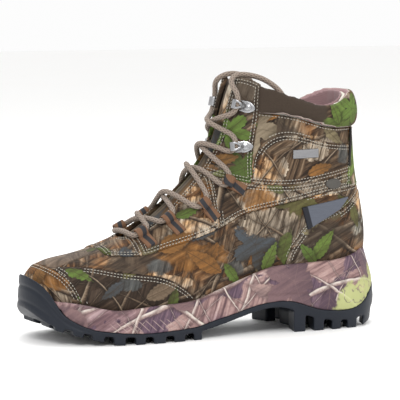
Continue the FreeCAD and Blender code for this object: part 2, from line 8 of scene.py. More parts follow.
# %% Load the frame
import bpy
import math
import numpy as np
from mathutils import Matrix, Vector
from mathutils.bvhtree import BVHTree


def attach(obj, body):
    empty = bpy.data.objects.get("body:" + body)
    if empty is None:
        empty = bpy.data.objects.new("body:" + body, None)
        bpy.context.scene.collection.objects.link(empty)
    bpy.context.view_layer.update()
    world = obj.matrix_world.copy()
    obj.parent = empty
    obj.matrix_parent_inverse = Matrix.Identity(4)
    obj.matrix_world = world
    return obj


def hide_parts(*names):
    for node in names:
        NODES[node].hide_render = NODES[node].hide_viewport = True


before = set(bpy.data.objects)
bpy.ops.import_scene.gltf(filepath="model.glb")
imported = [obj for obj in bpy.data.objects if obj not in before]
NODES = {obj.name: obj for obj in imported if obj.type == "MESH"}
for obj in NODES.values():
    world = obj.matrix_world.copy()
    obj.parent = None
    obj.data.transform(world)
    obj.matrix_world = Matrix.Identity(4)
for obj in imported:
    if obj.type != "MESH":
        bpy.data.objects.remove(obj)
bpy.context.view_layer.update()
MM = 0.001

# %% [markdown]
# ## Camera and light
# A boot on a shop's page is seen from far away through a long lens, a little above the floor and
# turned towards the toe. The lens is long, so the boot keeps its proportions. Four large soft lamps
# and a white surrounding give even light with a faint shadow under the sole. Colours are shown as
# they are, without a film curve, so a palette can be judged by eye.

# %% Camera
AIM = Vector((0.0012, 0.0, 0.1042))
AZIMUTH = math.radians(-24.0)
DISTANCE = 2.0
CAMERA_HEIGHT = 0.292


def make_camera():
    data = bpy.data.cameras.new("camera")
    data.lens = 225.0
    data.sensor_width = 36.0
    data.clip_end = 20.0
    camera = bpy.data.objects.new("camera", data)
    bpy.context.scene.collection.objects.link(camera)
    flat = math.sqrt(DISTANCE ** 2 - CAMERA_HEIGHT ** 2)
    camera.location = (flat * math.sin(AZIMUTH), -flat * math.cos(AZIMUTH), CAMERA_HEIGHT)
    turn = (AIM - camera.location).to_track_quat("-Z", "Y")
    camera.rotation_euler = turn.to_euler()
    bpy.context.scene.camera = camera
    return camera


print("camera at", [round(v, 3) for v in make_camera().location])

# %% Soft studio light


def area_light(name, place, size, power, aim=(0.0, 0.0, 0.09)):
    data = bpy.data.lights.new(name, "AREA")
    data.shape = "DISK"
    data.size = size
    data.energy = power
    lamp = bpy.data.objects.new(name, data)
    bpy.context.scene.collection.objects.link(lamp)
    lamp.location = place
    lamp.rotation_euler = (Vector(aim) - Vector(place)).to_track_quat("-Z", "Y").to_euler()
    return lamp


area_light("key_light", (-0.9, -1.5, 1.6), 0.9, 24.0)
area_light("fill_light", (1.5, -1.1, 0.9), 1.2, 7.0)
area_light("top_light", (0.3, 0.5, 1.9), 1.2, 13.0)
area_light("rear_light", (0.3, 1.7, 1.0), 1.2, 8.0)
world = bpy.data.worlds.new("studio")
world.use_nodes = True
world.node_tree.nodes["Background"].inputs["Color"].default_value = (1.0, 1.0, 1.0, 1.0)
world.node_tree.nodes["Background"].inputs["Strength"].default_value = 0.98
bpy.context.scene.world = world
bpy.context.scene.view_settings.view_transform = "Standard"

# %% [markdown]
# ## Writing shaders as sums
# A node tree is easier to read as arithmetic. `Value` wraps a socket, and the usual operators add
# Math nodes. `Shader.node` makes every other node, from its type, its settings and its inputs.

# %% Shader helper


class Value:
    """A number that comes out of a socket. The operators add Math nodes."""

    def __init__(self, shader, socket):
        self.shader = shader
        self.socket = socket

    def math(self, operation, *others, clamp=False):
        settings = {"operation": operation, "use_clamp": clamp}
        return self.shader.node("ShaderNodeMath", settings, {i: v for i, v in enumerate((self,) + others)})

    def __add__(self, other):
        return self.math("ADD", other)

    def __radd__(self, other):
        return self.math("ADD", other)

    def __sub__(self, other):
        return self.math("SUBTRACT", other)

    def __rsub__(self, other):
        return self.shader.number("SUBTRACT", other, self)

    def __mul__(self, other):
        return self.math("MULTIPLY", other)

    def __rmul__(self, other):
        return self.math("MULTIPLY", other)

    def __truediv__(self, other):
        return self.math("DIVIDE", other)

    def __rtruediv__(self, other):
        return self.shader.number("DIVIDE", other, self)

    def __pow__(self, other):
        return self.math("POWER", other)

    def __abs__(self):
        return self.math("ABSOLUTE")

    def __neg__(self):
        return self.math("MULTIPLY", -1.0)

    def above(self, edge, soft=0.0):
        """1 where the value is over edge, with a soft step."""
        if not soft:
            return self.math("GREATER_THAN", edge)
        return ((self - edge) / soft + 0.5).math("MAXIMUM", 0.0).math("MINIMUM", 1.0)

    def below(self, edge, soft=0.0):
        return 1.0 - self.above(edge, soft)

    def least(self, other):
        return self.math("MINIMUM", other)

    def most(self, other):
        return self.math("MAXIMUM", other)


class Shader:
    """One material's node tree."""

    def __init__(self, name):
        self.material = bpy.data.materials.new(name)
        self.material.use_nodes = True
        self.tree = self.material.node_tree
        self.surface = self.tree.nodes["Principled BSDF"]

    def node(self, kind, settings=None, inputs=None, output=0):
        made = self.tree.nodes.new(kind)
        for key, value in (settings or {}).items():
            setattr(made, key, value)
        for key, value in (inputs or {}).items():
            self.put(made.inputs[key], value)
        return Value(self, made.outputs[output])

    def put(self, socket, value):
        if isinstance(value, Value):
            self.tree.links.new(value.socket, socket)
        elif isinstance(value, (tuple, list)) and len(value) == 3 and len(socket.default_value) == 4:
            socket.default_value = (*value, 1.0)
        else:
            socket.default_value = value

    def number(self, operation, a, b):
        return self.node("ShaderNodeMath", {"operation": operation}, {0: a, 1: b})

    def vector(self, x=0.0, y=0.0, z=0.0):
        return self.node("ShaderNodeCombineXYZ", {}, {0: x, 1: y, 2: z})

    def place(self):
        """The object coordinates, which are the boot's own metres."""
        return self.node("ShaderNodeTexCoord", output=3)

    def parts(self, vector):
        made = self.node("ShaderNodeSeparateXYZ", {}, {0: vector})
        return [Value(self, s) for s in made.socket.node.outputs]

    def noise(self, vector, scale, detail=2.0, rough=0.5):
        return self.node("ShaderNodeTexNoise", {}, {"Vector": vector, "Scale": scale, "Detail": detail,
                                                   "Roughness": rough})

    def mix(self, share, a, b, how="MIX"):
        """A colour between a and b, or a multiplied by b."""
        made = self.tree.nodes.new("ShaderNodeMix")
        made.data_type = "RGBA"
        made.blend_type = how
        for place, value in ((0, share), (6, a), (7, b)):
            self.put(made.inputs[place], value)
        return Value(self, made.outputs[2])

    def ramp(self, value, stops):
        made = self.tree.nodes.new("ShaderNodeValToRGB")
        made.color_ramp.elements.remove(made.color_ramp.elements[1])
        for number, (place, colour) in enumerate(stops):
            if number == 0:
                made.color_ramp.elements[0].position = place
                made.color_ramp.elements[0].color = (*colour, 1.0)
            else:
                made.color_ramp.elements.new(place).color = (*colour, 1.0)
        self.put(made.inputs[0], value)
        return Value(self, made.outputs[0])

    def finish(self, colour, rough, height=None, bump=0.3, distance=0.0005, **constants):
        self.put(self.surface.inputs["Base Color"], colour)
        self.put(self.surface.inputs["Roughness"], rough)
        constants.setdefault("Specular_IOR_Level", 0.2)
        for key, value in constants.items():
            self.surface.inputs[key.replace("_", " ")].default_value = value
        if height is not None:
            made = self.tree.nodes.new("ShaderNodeBump")
            self.put(made.inputs["Strength"], bump)
            self.put(made.inputs["Distance"], distance)
            self.put(made.inputs["Height"], height)
            self.tree.links.new(made.outputs["Normal"], self.surface.inputs["Normal"])
        return self.material


print("shader helper ready")

# %% [markdown]
# ## The camouflage print
# Hunting fabric is printed with overlapping leaves, twigs and bark. The print is drawn in the
# cloth's own flat coordinates, so the leaves keep their size round the toe. Each layer is scattered
# with a cell pattern: a cell gives a leaf its middle, its turn and its colour. A leaf is a distance
# from its middle compared with a lobed outline.

# %% The print's layers


def turned(shader, x, y, angle):
    """x and y after turning by an angle that may vary."""
    if isinstance(angle, Value):
        c, s = angle.math("COSINE"), angle.math("SINE")
    else:
        c, s = math.cos(angle), math.sin(angle)
    return x * c + y * s, y * c - x * s


def scattered(shader, x, y, spacing, shift):
    """The place inside the nearest cell, in millimetres, and three random numbers of that cell."""
    where = shader.vector((x + shift) / spacing, (y - shift) / spacing, 0.0)
    cell = shader.node("ShaderNodeTexVoronoi", {"voronoi_dimensions": "2D"}, {"Vector": where, "Scale": 1.0,
                                                                              "Randomness": 0.85})
    outputs = cell.socket.node.outputs
    middle = shader.parts(Value(shader, outputs["Position"]))
    chance = shader.parts(Value(shader, outputs["Color"]))
    px, py, _ = shader.parts(where)
    dx, dy = (px - middle[0]) * spacing, (py - middle[1]) * spacing
    return dx, dy, chance


def lobed_leaf(shader, x, y, size):
    """How far inside a five-lobed toothed leaf a point lies, and its veins."""
    angle = y.math("ARCTAN2", x)
    reach = (x * x + y * y) ** 0.5
    lobes = abs((angle * 2.5).math("COSINE")) ** 0.9
    teeth = (angle * 11.0).math("PINGPONG", 1.0)
    outline = size * (0.34 + 0.58 * lobes + 0.09 * teeth)
    veins = (abs((angle * 2.5).math("SINE")) * reach).below(0.55, 0.5)
    return outline - reach, veins


def long_leaf(shader, x, y, size):
    """The same for a narrow leaf with a saw edge."""
    t = (x / size).least(1.4).most(-1.4)
    teeth = (x * 0.55).math("PINGPONG", 1.0)
    width = size * 0.36 * (1.0 - t * t) * (1.0 - 0.3 * t) + 0.8 * teeth
    veins = abs(y).below(0.4, 0.3).most(((x - abs(y) * 0.9).math("PINGPONG", 2.6)).below(0.35, 0.3) * 0.6)
    return width - abs(y), veins


def stroke(shader, x, y, angle, spacing, thick, wobble, seed):
    """Twigs: how far inside one a point lies, and its place across it."""
    along, across = turned(shader, x, y, angle)
    across = across + (wobble - 0.5) * 16.0 + seed
    row = (across / spacing).math("FLOOR")
    chance = shader.node("ShaderNodeTexWhiteNoise", {"noise_dimensions": "1D"}, {"W": row + seed})
    place = across - (row + 0.25 + 0.5 * chance) * spacing
    length = shader.noise(shader.vector(along * 0.012 + seed, row * 3.7, 0.0), 1.0, 0.0)
    wide = thick * (0.35 + 0.9 * chance) * (length - 0.42).most(0.0) * 6.0
    return wide.least(thick * 1.3) - abs(place), place


def near_spot(ragged, x, z, spot):
    """1 inside an oval patch with a ragged edge, seen from the side."""
    px, pz, wide, high = spot
    gap = ((x - px) / wide) ** 2 + ((z - pz) / high) ** 2
    return (1.0 - gap + (ragged - 0.5) * 1.8).above(0.25, 0.4)


def camouflage(shader, palette, shift=0.0, leaves=1.0):
    """The printed colour, from the cloth's flat coordinates in millimetres."""
    uv = shader.node("ShaderNodeUVMap", {"uv_map": "cloth"})
    x, y, _ = shader.parts(uv)
    x, y = x * 1000.0 + shift, y * 1000.0 + shift * 0.7
    where = shader.vector(x, y, 0.0)
    wobble = shader.noise(where, 0.016, 2.0)
    fine = shader.noise(where, 0.55, 3.0, 0.7)
    ragged = shader.noise(where, 0.16, 3.0, 0.65)
    tilt_x, tilt_y = turned(shader, x, y, 0.45)
    streak = shader.noise(shader.vector(tilt_x * 0.022, tilt_y * 0.23, 0.0), 1.0, 4.0, 0.62)
    steep_x, steep_y = turned(shader, x, y, 1.25)
    streak2 = shader.noise(shader.vector(steep_x * 0.02, steep_y * 0.3, 4.0), 1.0, 4.0, 0.6)
    patch = shader.noise(where, 0.026, 1.0).above(0.52, 0.06)
    tone = streak + (streak2 - streak) * patch
    ground = shader.ramp(tone, palette["ground"])
    bark_here = (shader.noise(shader.vector(x * 0.019, y * 0.030, 7.0), 1.0, 1.0) + (ragged - 0.5) * 0.10)
    lines = shader.noise(shader.vector(steep_x * 0.03, steep_y * 0.42, 2.0), 1.0, 4.0, 0.6)
    place = shader.place()
    side_x, _, side_z = shader.parts(place)
    side_x, side_z = side_x * 1000.0, side_z * 1000.0
    for spot in palette.get("pale", ()):
        bark_here = bark_here + near_spot(ragged, side_x, side_z, spot) * 0.25
    colour = shader.mix(bark_here.above(0.555, 0.015), ground, shader.ramp(lines, palette["bark"]))
    region = shader.noise(shader.vector(x * 0.013, y * 0.02, 11.0), 1.0, 1.0) + (ragged - 0.5) * 0.12
    colour = shader.mix(1.0, colour, shader.ramp(region, palette["region"]), "MULTIPLY")
    for angle, spacing, thick, seed in ((0.35, 34.0, 2.4, 3.0), (1.15, 41.0, 2.0, 17.0),
                                        (-0.5, 47.0, 1.7, 31.0), (0.75, 25.0, 0.7, 43.0),
                                        (-1.0, 29.0, 0.6, 57.0)):
        inside, place = stroke(shader, x, y, angle, spacing, thick, wobble, seed + shift * 0.1)
        inside = inside + (ragged - 0.5) * 1.2
        colour = shader.mix(inside.above(-1.0, 2.2) * 0.55, colour, palette["shade"])
        shade = (place / (thick * 2.0) + 0.5 + (fine - 0.5) * 0.9).most(0.0).least(1.0)
        colour = shader.mix(inside.above(0.0, 0.6), colour, shader.ramp(shade, palette["twig"]))
    bare = 1.0
    for spot in palette.get("clear", ()):
        bare = (1.0 - near_spot(ragged, side_x, side_z, spot)) * bare
    for tint, spots in palette.get("tints", ()):
        for spot in spots:
            colour = shader.mix(near_spot(ragged, side_x, side_z, spot) * 0.8, colour,
                                shader.mix(1.0, shader.ramp(tone, palette["tinted"]), tint, "MULTIPLY"))
    for spacing, size, kind, seed, rare in ((29.0, 11.0, long_leaf, 11.0, 0.0),
                                            (41.0, 17.0, long_leaf, 71.0, 0.05),
                                            (62.0, 22.0, lobed_leaf, 61.0, 0.12)):
        dx, dy, chance = scattered(shader, x + (wobble - 0.5) * 9.0, y + (ragged - 0.5) * 2.5, spacing,
                                   seed + shift)
        lx, ly = turned(shader, dx, dy, chance[0] * 6.283)
        inside, veins = kind(shader, lx, ly, size * leaves)
        inside = inside + (ragged - 0.5) * 3.0
        shown = chance[2].above(palette["gap"] + rare) * bare
        colour = shader.mix(inside.above(-1.5, 4.0) * shown * 0.6, colour, palette["shade"])
        leaf = shader.ramp(chance[1], palette["leaf"])
        leaf = shader.mix((0.15 + (streak - 0.42) * 2.2 + (ly / size) * 0.5).most(0.0).least(0.85),
                          leaf, palette["leaf_dark"])
        leaf = shader.mix(veins * 0.45, leaf, palette["vein"])
        colour = shader.mix(inside.above(0.0, 0.9) * shown, colour, leaf)
    for px, pz, size, turn, kind, leaf in palette.get("placed", ()):
        lx, ly = turned(shader, side_x - px, side_z - pz, turn)
        inside, veins = kind(shader, lx, ly, size)
        inside = inside + (ragged - 0.5) * 2.0
        shaded = shader.mix((0.1 + (streak - 0.42) * 2.0).most(0.0).least(0.7), leaf, palette["leaf_dark"])
        shaded = shader.mix(veins * 0.5, shaded, palette["vein"])
        colour = shader.mix(inside.above(-1.5, 4.0) * 0.6, colour, palette["shade"])
        colour = shader.mix(inside.above(0.0, 0.8), colour, shaded)
    light = shader.mix(fine.above(0.5, 0.5) * 0.30, colour, palette["shade"])
    weave = ((x * 6.5).math("SINE") * (y * 6.5).math("SINE"))
    return light, weave + fine * 1.4


print("print layers ready")

# %% Palettes
WOODS = {
    "ground": [(0.32, (0.010, 0.007, 0.005)), (0.43, (0.046, 0.030, 0.020)), (0.52, (0.115, 0.077, 0.050)),
               (0.60, (0.21, 0.152, 0.102)), (0.70, (0.36, 0.285, 0.21))],
    "bark": [(0.36, (0.060, 0.044, 0.032)), (0.45, (0.22, 0.18, 0.14)), (0.58, (0.52, 0.46, 0.38))],
    "region": [(0.34, (0.50, 0.46, 0.42)), (0.43, (0.85, 0.78, 0.70)), (0.50, (1.0, 0.95, 0.88)),
               (0.56, (1.25, 0.85, 0.50)), (0.63, (1.15, 1.05, 0.95)), (0.70, (0.75, 0.85, 0.88))],
    "twig": [(0.0, (0.014, 0.010, 0.008)), (0.35, (0.055, 0.036, 0.024)), (0.7, (0.19, 0.135, 0.09)),
             (1.0, (0.36, 0.28, 0.20))],
    "leaf": [(0.0, (0.20, 0.080, 0.022)), (0.30, (0.27, 0.125, 0.036)), (0.42, (0.14, 0.088, 0.048)),
             (0.55, (0.085, 0.13, 0.028)), (0.66, (0.12, 0.19, 0.038)), (0.80, (0.25, 0.19, 0.12)),
             (0.90, (0.40, 0.35, 0.27)), (0.96, (0.065, 0.075, 0.085))],
    "leaf_dark": (0.035, 0.024, 0.012), "vein": (0.05, 0.032, 0.018), "shade": (0.010, 0.007, 0.005),
    "gap": 0.62,
    "tinted": [(0.34, (0.35, 0.30, 0.26)), (0.50, (0.85, 0.80, 0.74)), (0.66, (1.35, 1.30, 1.20))],
    "pale": ((45.0, 86.0, 34.0, 14.0), (88.0, 113.0, 27.0, 8.0), (52.0, 132.0, 12.0, 14.0),
             (84.0, 143.0, 14.0, 10.0)),
    "tints": (((0.225, 0.105, 0.030), ((-22.0, 64.0, 34.0, 12.0), (36.0, 106.0, 16.0, 9.0),
                                       (-130.0, 52.0, 11.0, 12.0))),
              ((0.060, 0.045, 0.034), ((98.0, 74.0, 30.0, 14.0), (-70.0, 60.0, 22.0, 9.0),
                                       (45.0, 158.0, 30.0, 8.0))),
              ((0.085, 0.095, 0.100), ((14.0, 54.0, 9.0, 7.0), (-52.0, 58.0, 12.0, 6.0),
                                       (112.0, 140.0, 7.0, 9.0)))),
    "clear": ((102.0, 74.0, 28.0, 18.0), (46.0, 87.0, 32.0, 13.0), (92.0, 114.0, 24.0, 8.0),
              (56.0, 134.0, 12.0, 14.0)),
    "placed": ((93.0, 67.0, 15.0, 0.9, long_leaf, (0.13, 0.20, 0.04)),
               (80.0, 61.0, 11.0, 2.3, long_leaf, (0.10, 0.165, 0.034)),
               (-112.0, 40.0, 13.0, 1.9, long_leaf, (0.105, 0.165, 0.034)),
               (-101.0, 33.0, 10.0, 0.4, long_leaf, (0.13, 0.19, 0.045)),
               (45.0, 60.0, 13.0, 1.1, long_leaf, (0.125, 0.19, 0.040)),
               (-36.0, 76.0, 16.0, 0.4, long_leaf, (0.24, 0.11, 0.032)),
               (-14.0, 60.0, 17.0, 2.6, long_leaf, (0.26, 0.115, 0.032))),
}
DARK_WOODS = dict(WOODS, ground=[(0.30, (0.012, 0.008, 0.006)), (0.50, (0.034, 0.023, 0.016)),
                                 (0.62, (0.060, 0.042, 0.030)), (0.78, (0.11, 0.08, 0.058))],
                  bark=[(0.34, (0.030, 0.022, 0.016)), (0.60, (0.075, 0.055, 0.042))], gap=0.80,
                  region=[(0.3, (0.85, 0.82, 0.80)), (0.6, (1.1, 1.0, 0.92))], pale=(),
                  tints=(((0.085, 0.095, 0.100), ((-78.0, 46.0, 10.0, 6.0),)),),
                  placed=((-52.0, 40.0, 15.0, 0.35, long_leaf, (0.19, 0.135, 0.09)),))
print("palettes", len(WOODS["leaf"]), "leaf colours")


def camouflage_fabric(name, palette, shift):
    shader = Shader(name)
    colour, height = camouflage(shader, palette, shift)
    return shader.finish(colour, 0.78, height, 0.25, 0.00025)


FABRICS = {
    "mixed": camouflage_fabric("camouflage_mixed", WOODS, 0.0),
    "dark": camouflage_fabric("camouflage_dark", DARK_WOODS, 37.0),
}

# %% [markdown]
# ## Plain materials
# Everything that isn't printed still has a grain: rubber is faintly mottled in colour and roughness, foam
# is fine-pored, nickel is mottled with dark patches of painted reflection, webbing has ribs and a stripe.

# %% Rubber, foam, metal and cloth


def grain(name, light, dark, rough, scale=900.0, bump=0.25, distance=0.0002, patch_scale=45.0, **constants):
    """A mottled material in object coordinates, with a fine bump."""
    shader = Shader(name)
    where = shader.place()
    mottle = shader.noise(where, patch_scale, 3.0, 0.6)
    pores = shader.noise(where, scale, 3.0, 0.6)
    colour = shader.mix((mottle * 0.7 + pores * 0.5 - 0.25).most(0.0).least(1.0), dark, light)
    return shader.finish(colour, (rough - 0.1) + mottle * 0.2, pores, bump, distance, **constants)


RUBBER = grain("outsole_rubber", (0.020, 0.024, 0.034), (0.009, 0.011, 0.016), 0.46, 1400.0, 0.2)
FOAM = grain("foam", (0.72, 0.70, 0.62), (0.58, 0.56, 0.48), 0.9, 700.0, 0.5)
BOARD = grain("fibre_board", (0.50, 0.44, 0.34), (0.40, 0.34, 0.26), 0.85, 1100.0, 0.3)
STIFF = grain("stiffener_sheet", (0.62, 0.60, 0.55), (0.52, 0.50, 0.46), 0.6)
STEEL = grain("spring_steel", (0.50, 0.51, 0.53), (0.36, 0.37, 0.39), 0.35, 900.0, 0.1, Metallic=1.0)
# The nickel's dark patches are painted reflection: they stand in for dark surroundings mirrored in the
# plate.
NICKEL_PAINTED_REFLECTION = grain("nickel", (0.52, 0.52, 0.53), (0.26, 0.26, 0.27), 0.24, 600.0, 0.05, patch_scale=160.0,
               Metallic=1.0)
SILVER = grain("silver_label", (0.34, 0.34, 0.34), (0.20, 0.20, 0.21), 0.40, 900.0, 0.1, Metallic=0.8)
INK = grain("label_ink", (0.10, 0.095, 0.085), (0.055, 0.05, 0.045), 0.6)
PIPING = grain("piping_cord", (0.030, 0.028, 0.027), (0.014, 0.013, 0.013), 0.7, 1500.0, 0.5)
LIGHT_THREAD = grain("light_thread", (0.50, 0.47, 0.41), (0.27, 0.25, 0.21), 0.6, 2600.0, 0.4)
DARK_THREAD = grain("dark_thread", (0.035, 0.032, 0.030), (0.016, 0.015, 0.014), 0.6, 2600.0, 0.4)
TIP = grain("lace_tip", (0.30, 0.25, 0.22), (0.20, 0.165, 0.145), 0.3)


def mesh_lining():
    """Knitted lining: small rows of loops."""
    shader = Shader("mauve_lining")
    where = shader.place()
    x, y, z = shader.parts(where)
    rows = ((z * 4200.0).math("SINE") * ((x + y) * 3000.0).math("SINE")) * 0.5 + 0.5
    mottle = shader.noise(where, 60.0, 2.0)
    colour = shader.mix(rows * 0.35 + (mottle - 0.5) * 0.6, (0.32, 0.20, 0.205), (0.18, 0.11, 0.115))
    return shader.finish(colour, 0.85, rows, 0.5, 0.0003, Sheen_Weight=0.2)


def stitched_webbing():
    """Webbing: a tan strip with a dark middle stripe, ribbed across. Its map runs across, then along."""
    shader = Shader("striped_webbing")
    across, along, _ = shader.parts(shader.node("ShaderNodeUVMap", {"uv_map": "cloth"}))
    stripe = abs(across).below(0.0017, 0.0004)
    ribs = ((across * 5200.0).math("SINE") * (along * 3600.0).math("SINE")) * 0.5 + 0.5
    tan = shader.mix(ribs * 0.5, (0.17, 0.088, 0.048), (0.085, 0.043, 0.025))
    black = shader.mix(ribs * 0.5, (0.030, 0.030, 0.034), (0.012, 0.012, 0.014))
    return shader.finish(shader.mix(stripe, tan, black), 0.7, ribs, 0.6, 0.0003)


def braided_lace():
    """A round braid: strands cross at a slant. Its map runs along the lace and round it."""
    shader = Shader("braided_lace")
    along, around, _ = shader.parts(shader.node("ShaderNodeUVMap", {"uv_map": "cloth"}))
    one = (along * 1500.0 + around * 37.7).math("SINE")
    two = (along * 1500.0 - around * 37.7).math("SINE")
    strands = one.most(two) * 0.5 + 0.5
    fleck = shader.noise(shader.vector(along * 600.0, around * 6.0, 0.0), 1.0, 2.0)
    light = shader.mix(fleck, (0.34, 0.275, 0.225), (0.21, 0.165, 0.135))
    # Painted shade: the colour darkens in the grooves between the strands, where shadow falls.
    colour = shader.mix((1.0 - strands) * 0.8, light, (0.070, 0.052, 0.042))
    return shader.finish(colour, 0.75, strands, 0.8, 0.0005, Sheen_Weight=0.1)


LINING = mesh_lining()
WEBBING = stitched_webbing()
LACE = braided_lace()

FOAM_PRINT = {
    "ground": [(0.30, (0.10, 0.060, 0.066)), (0.42, (0.22, 0.138, 0.134)), (0.55, (0.38, 0.262, 0.242)),
               (0.70, (0.54, 0.42, 0.39))],
    "bark": [(0.34, (0.050, 0.032, 0.052)), (0.46, (0.090, 0.060, 0.090)), (0.62, (0.17, 0.115, 0.145))],
    "region": [(0.36, (0.72, 0.66, 0.74)), (0.46, (1.0, 0.95, 0.95)), (0.60, (1.05, 1.0, 0.98))],
    "twig": [(0.0, (0.13, 0.075, 0.075)), (0.4, (0.40, 0.30, 0.27)), (0.7, (0.68, 0.60, 0.54)),
             (1.0, (0.74, 0.68, 0.58))],
    "leaf": [(0.0, (0.072, 0.046, 0.070)), (0.4, (0.11, 0.068, 0.088)), (0.6, (0.27, 0.165, 0.15)),
             (0.8, (0.13, 0.082, 0.10)), (0.95, (0.38, 0.26, 0.23))],
    "leaf_dark": (0.06, 0.038, 0.052), "vein": (0.20, 0.13, 0.12), "shade": (0.055, 0.032, 0.036),
    "gap": 0.62,
}


def printed_foam():
    """Sidewall foam: the print in mauve, yellow-green leaves at the heel and ribs at the ball."""
    shader = Shader("printed_foam")
    colour, _ = camouflage(shader, FOAM_PRINT, 150.0, 1.25)
    where = shader.place()
    x, y, z = shader.parts(where)
    edge = shader.noise(where, 55.0, 3.0, 0.6)
    heel = ((x - 0.106) * 16.0 + (0.047 - z) * 18.0 + (edge - 0.5) * 1.6).above(0.45, 0.12)
    heel = heel * (1.0 - (abs(shader.noise(where, 90.0, 2.0) - 0.5)).below(0.02, 0.02) * 0.7)
    green = shader.mix(edge, (0.30, 0.34, 0.11), (0.52, 0.54, 0.25))
    colour = shader.mix(heel * 0.85, colour, green)
    pores = shader.noise(where, 1500.0, 2.0)
    band = (z - 0.0105).above(0.0, 0.001) * z.below(0.0185, 0.001)
    band = band * x.above(-0.096, 0.004) * x.below(-0.028, 0.004)
    ribs = ((x + z * 1.1) * 1000.0).math("PINGPONG", 3.0).below(0.55, 0.5) * band
    colour = shader.mix(ribs * 0.5, colour, (0.50, 0.37, 0.34))
    return shader.finish(colour, 0.62, pores * 0.1 - ribs, 0.8, 0.0006)


MIDSOLE = printed_foam()
print("materials", len(bpy.data.materials))

# %% [markdown]
# ## The lace
# The lace comes first, because its route decides what must stay clear of it. It is one smooth
# curve whose control points go before and after each loop and hook. The curve is only the path: the
# lace itself is a tube of small rings along it, slightly flattened, with the map that the braid needs.

# %% The lace's route
LACE_ROUTE = [
    # from inside the collar up and over the tongue's lateral shoulder
    (70, -25, 140), (68, -26, 158), (67, -25, 175), (62, -23.5, 190), (50, -16, 200.5),
    (37, -9.5, 204), (27, -9.5, 203.5), (20.5, -14.5, 198),
    # lateral hook 6, over to the medial side
    (25, -23, 187.5), (21.5, -22.5, 174), (14, -10.5, 170.5), (10.5, 1, 166.5), (12.5, 12.5, 161.5),
    # medial hook 5, back
    (22, 24, 156), (20, 24.5, 142), (6.5, 11, 147.5), (2, -2.5, 146), (4, -16.5, 140),
    # lateral loop 4, over
    (15.5, -30, 127), (8.5, -32.5, 115.5), (-4, -17.5, 130), (-9, -2, 131.5), (-9, 13.5, 124),
    # medial loop 3, back
    (-3.5, 28.5, 106.5), (-14.5, 30, 98), (-25, 15.5, 108), (-30.5, 1.5, 109), (-32.5, -13, 105.5),
    # lateral loop 2, over
    (-32, -27, 98), (-43.5, -26.5, 90.5), (-47.5, -14.5, 92.5), (-50.5, -2, 92.5), (-52, 10.5, 90.5),
    # medial loop 1 and the bar across the toe end
    (-52.5, 22.5, 86), (-64.5, 22.5, 80), (-65.5, 11, 82), (-66, 0, 82.5), (-66, -11, 82),
    # lateral loop 1, over the first strand
    (-65, -22.5, 80), (-52.5, -22.5, 86.5), (-52, -10.5, 90.5), (-53, 1.5, 97), (-47, 13.5, 92.5),
    # medial loop 2, back
    (-42.5, 25.5, 89), (-30.5, 25.5, 96), (-32, 10.5, 105.5), (-32.5, -4.5, 114.5), (-25, -19.5, 109),
    # lateral loop 3, over
    (-16, -34.5, 100.5), (-5, -33, 108.5), (-10, -17.5, 124.5), (-12.5, -2, 135.5), (-4, 13.5, 129),
    # medial loop 4, back
    (9.5, 29, 114), (16, 27.5, 126), (5, 14.5, 140), (-1.5, 1, 150.5), (6.5, -12, 148.5),
    # lateral hook 5, over
    (19.5, -25, 142), (22, -24, 155.5), (12.5, -12.5, 162), (5.5, -1, 167.5), (14, 10.5, 170.5),
    # medial hook 6
    (22, 22, 174), (25, 23, 187.5),
    # over the tongue's medial shoulder and down inside the collar
    (20.5, 14.5, 198), (27, 9.5, 203.5), (37, 9.5, 204), (50, 16, 200.5), (62, 23.5, 190),
    (67, 25, 175), (68, 26, 158), (70, 25, 140),
]


def spline_points(points):
    """The smooth line with these control points, read from a curve without thickness."""
    data = bpy.data.curves.new("lace_path", "CURVE")
    data.dimensions = "3D"
    data.resolution_u = 12
    line = data.splines.new("NURBS")
    line.points.add(len(points) - 1)
    for point, place in zip(line.points, points):
        point.co = (*place, 1.0)
    line.order_u = 3
    line.use_endpoint_u = True
    made = bpy.data.objects.new("lace_path", data)
    bpy.context.scene.collection.objects.link(made)
    mesh = bpy.data.meshes.new_from_object(made)
    path = np.array([v.co for v in mesh.vertices], float)
    bpy.data.objects.remove(made)
    bpy.data.curves.remove(data)
    return path


def evenly(path, step):
    """The same line with points an equal step apart."""
    runs = np.linalg.norm(np.diff(path, axis=0), axis=1)
    keep = np.concatenate([[True], runs > 1e-7])
    path = path[keep]
    at = np.concatenate([[0.0], np.cumsum(np.linalg.norm(np.diff(path, axis=0), axis=1))])
    count = max(2, int(round(at[-1] / step)) + 1)
    places = np.linspace(0.0, at[-1], count)
    return np.stack([np.interp(places, at, path[:, k]) for k in range(3)], axis=1), at[-1]


LACE_PATH, LACE_LENGTH = evenly(spline_points([(x * MM, y * MM, z * MM) for x, y, z in LACE_ROUTE]), 0.0007)
print("lace is", round(LACE_LENGTH, 3), "m long in", len(LACE_PATH), "rings")

# %% Helpers for meshes
SIDES = 16
LACE_DIAMETER = 0.0044


def new_object(name, vertices, faces):
    mesh = bpy.data.meshes.new(name)
    mesh.from_pydata([tuple(v) for v in vertices], [], faces)
    mesh.update()
    made = bpy.data.objects.new(name, mesh)
    bpy.context.scene.collection.objects.link(made)
    return made


def only(made):
    """Selects one object and makes it the one that the operators act on."""
    bpy.ops.object.select_all(action="DESELECT")
    made.hide_viewport = False
    made.select_set(True)
    bpy.context.view_layer.objects.active = made
    return made


def apply_all(made):
    only(made)
    for modifier in list(made.modifiers):
        bpy.ops.object.modifier_apply(modifier=modifier.name)
    return made


def points_of(made):
    co = np.zeros(len(made.data.vertices) * 3)
    made.data.vertices.foreach_get("co", co)
    return co.reshape(-1, 3)


def normals_of(made):
    n = np.zeros(len(made.data.vertices) * 3)
    made.data.vertices.foreach_get("normal", n)
    return n.reshape(-1, 3)


def set_points(made, co):
    made.data.vertices.foreach_set("co", np.ascontiguousarray(co).ravel())
    made.data.update()


def wear(made, *materials):
    made.data.materials.clear()
    for material in materials:
        made.data.materials.append(material)
    return made


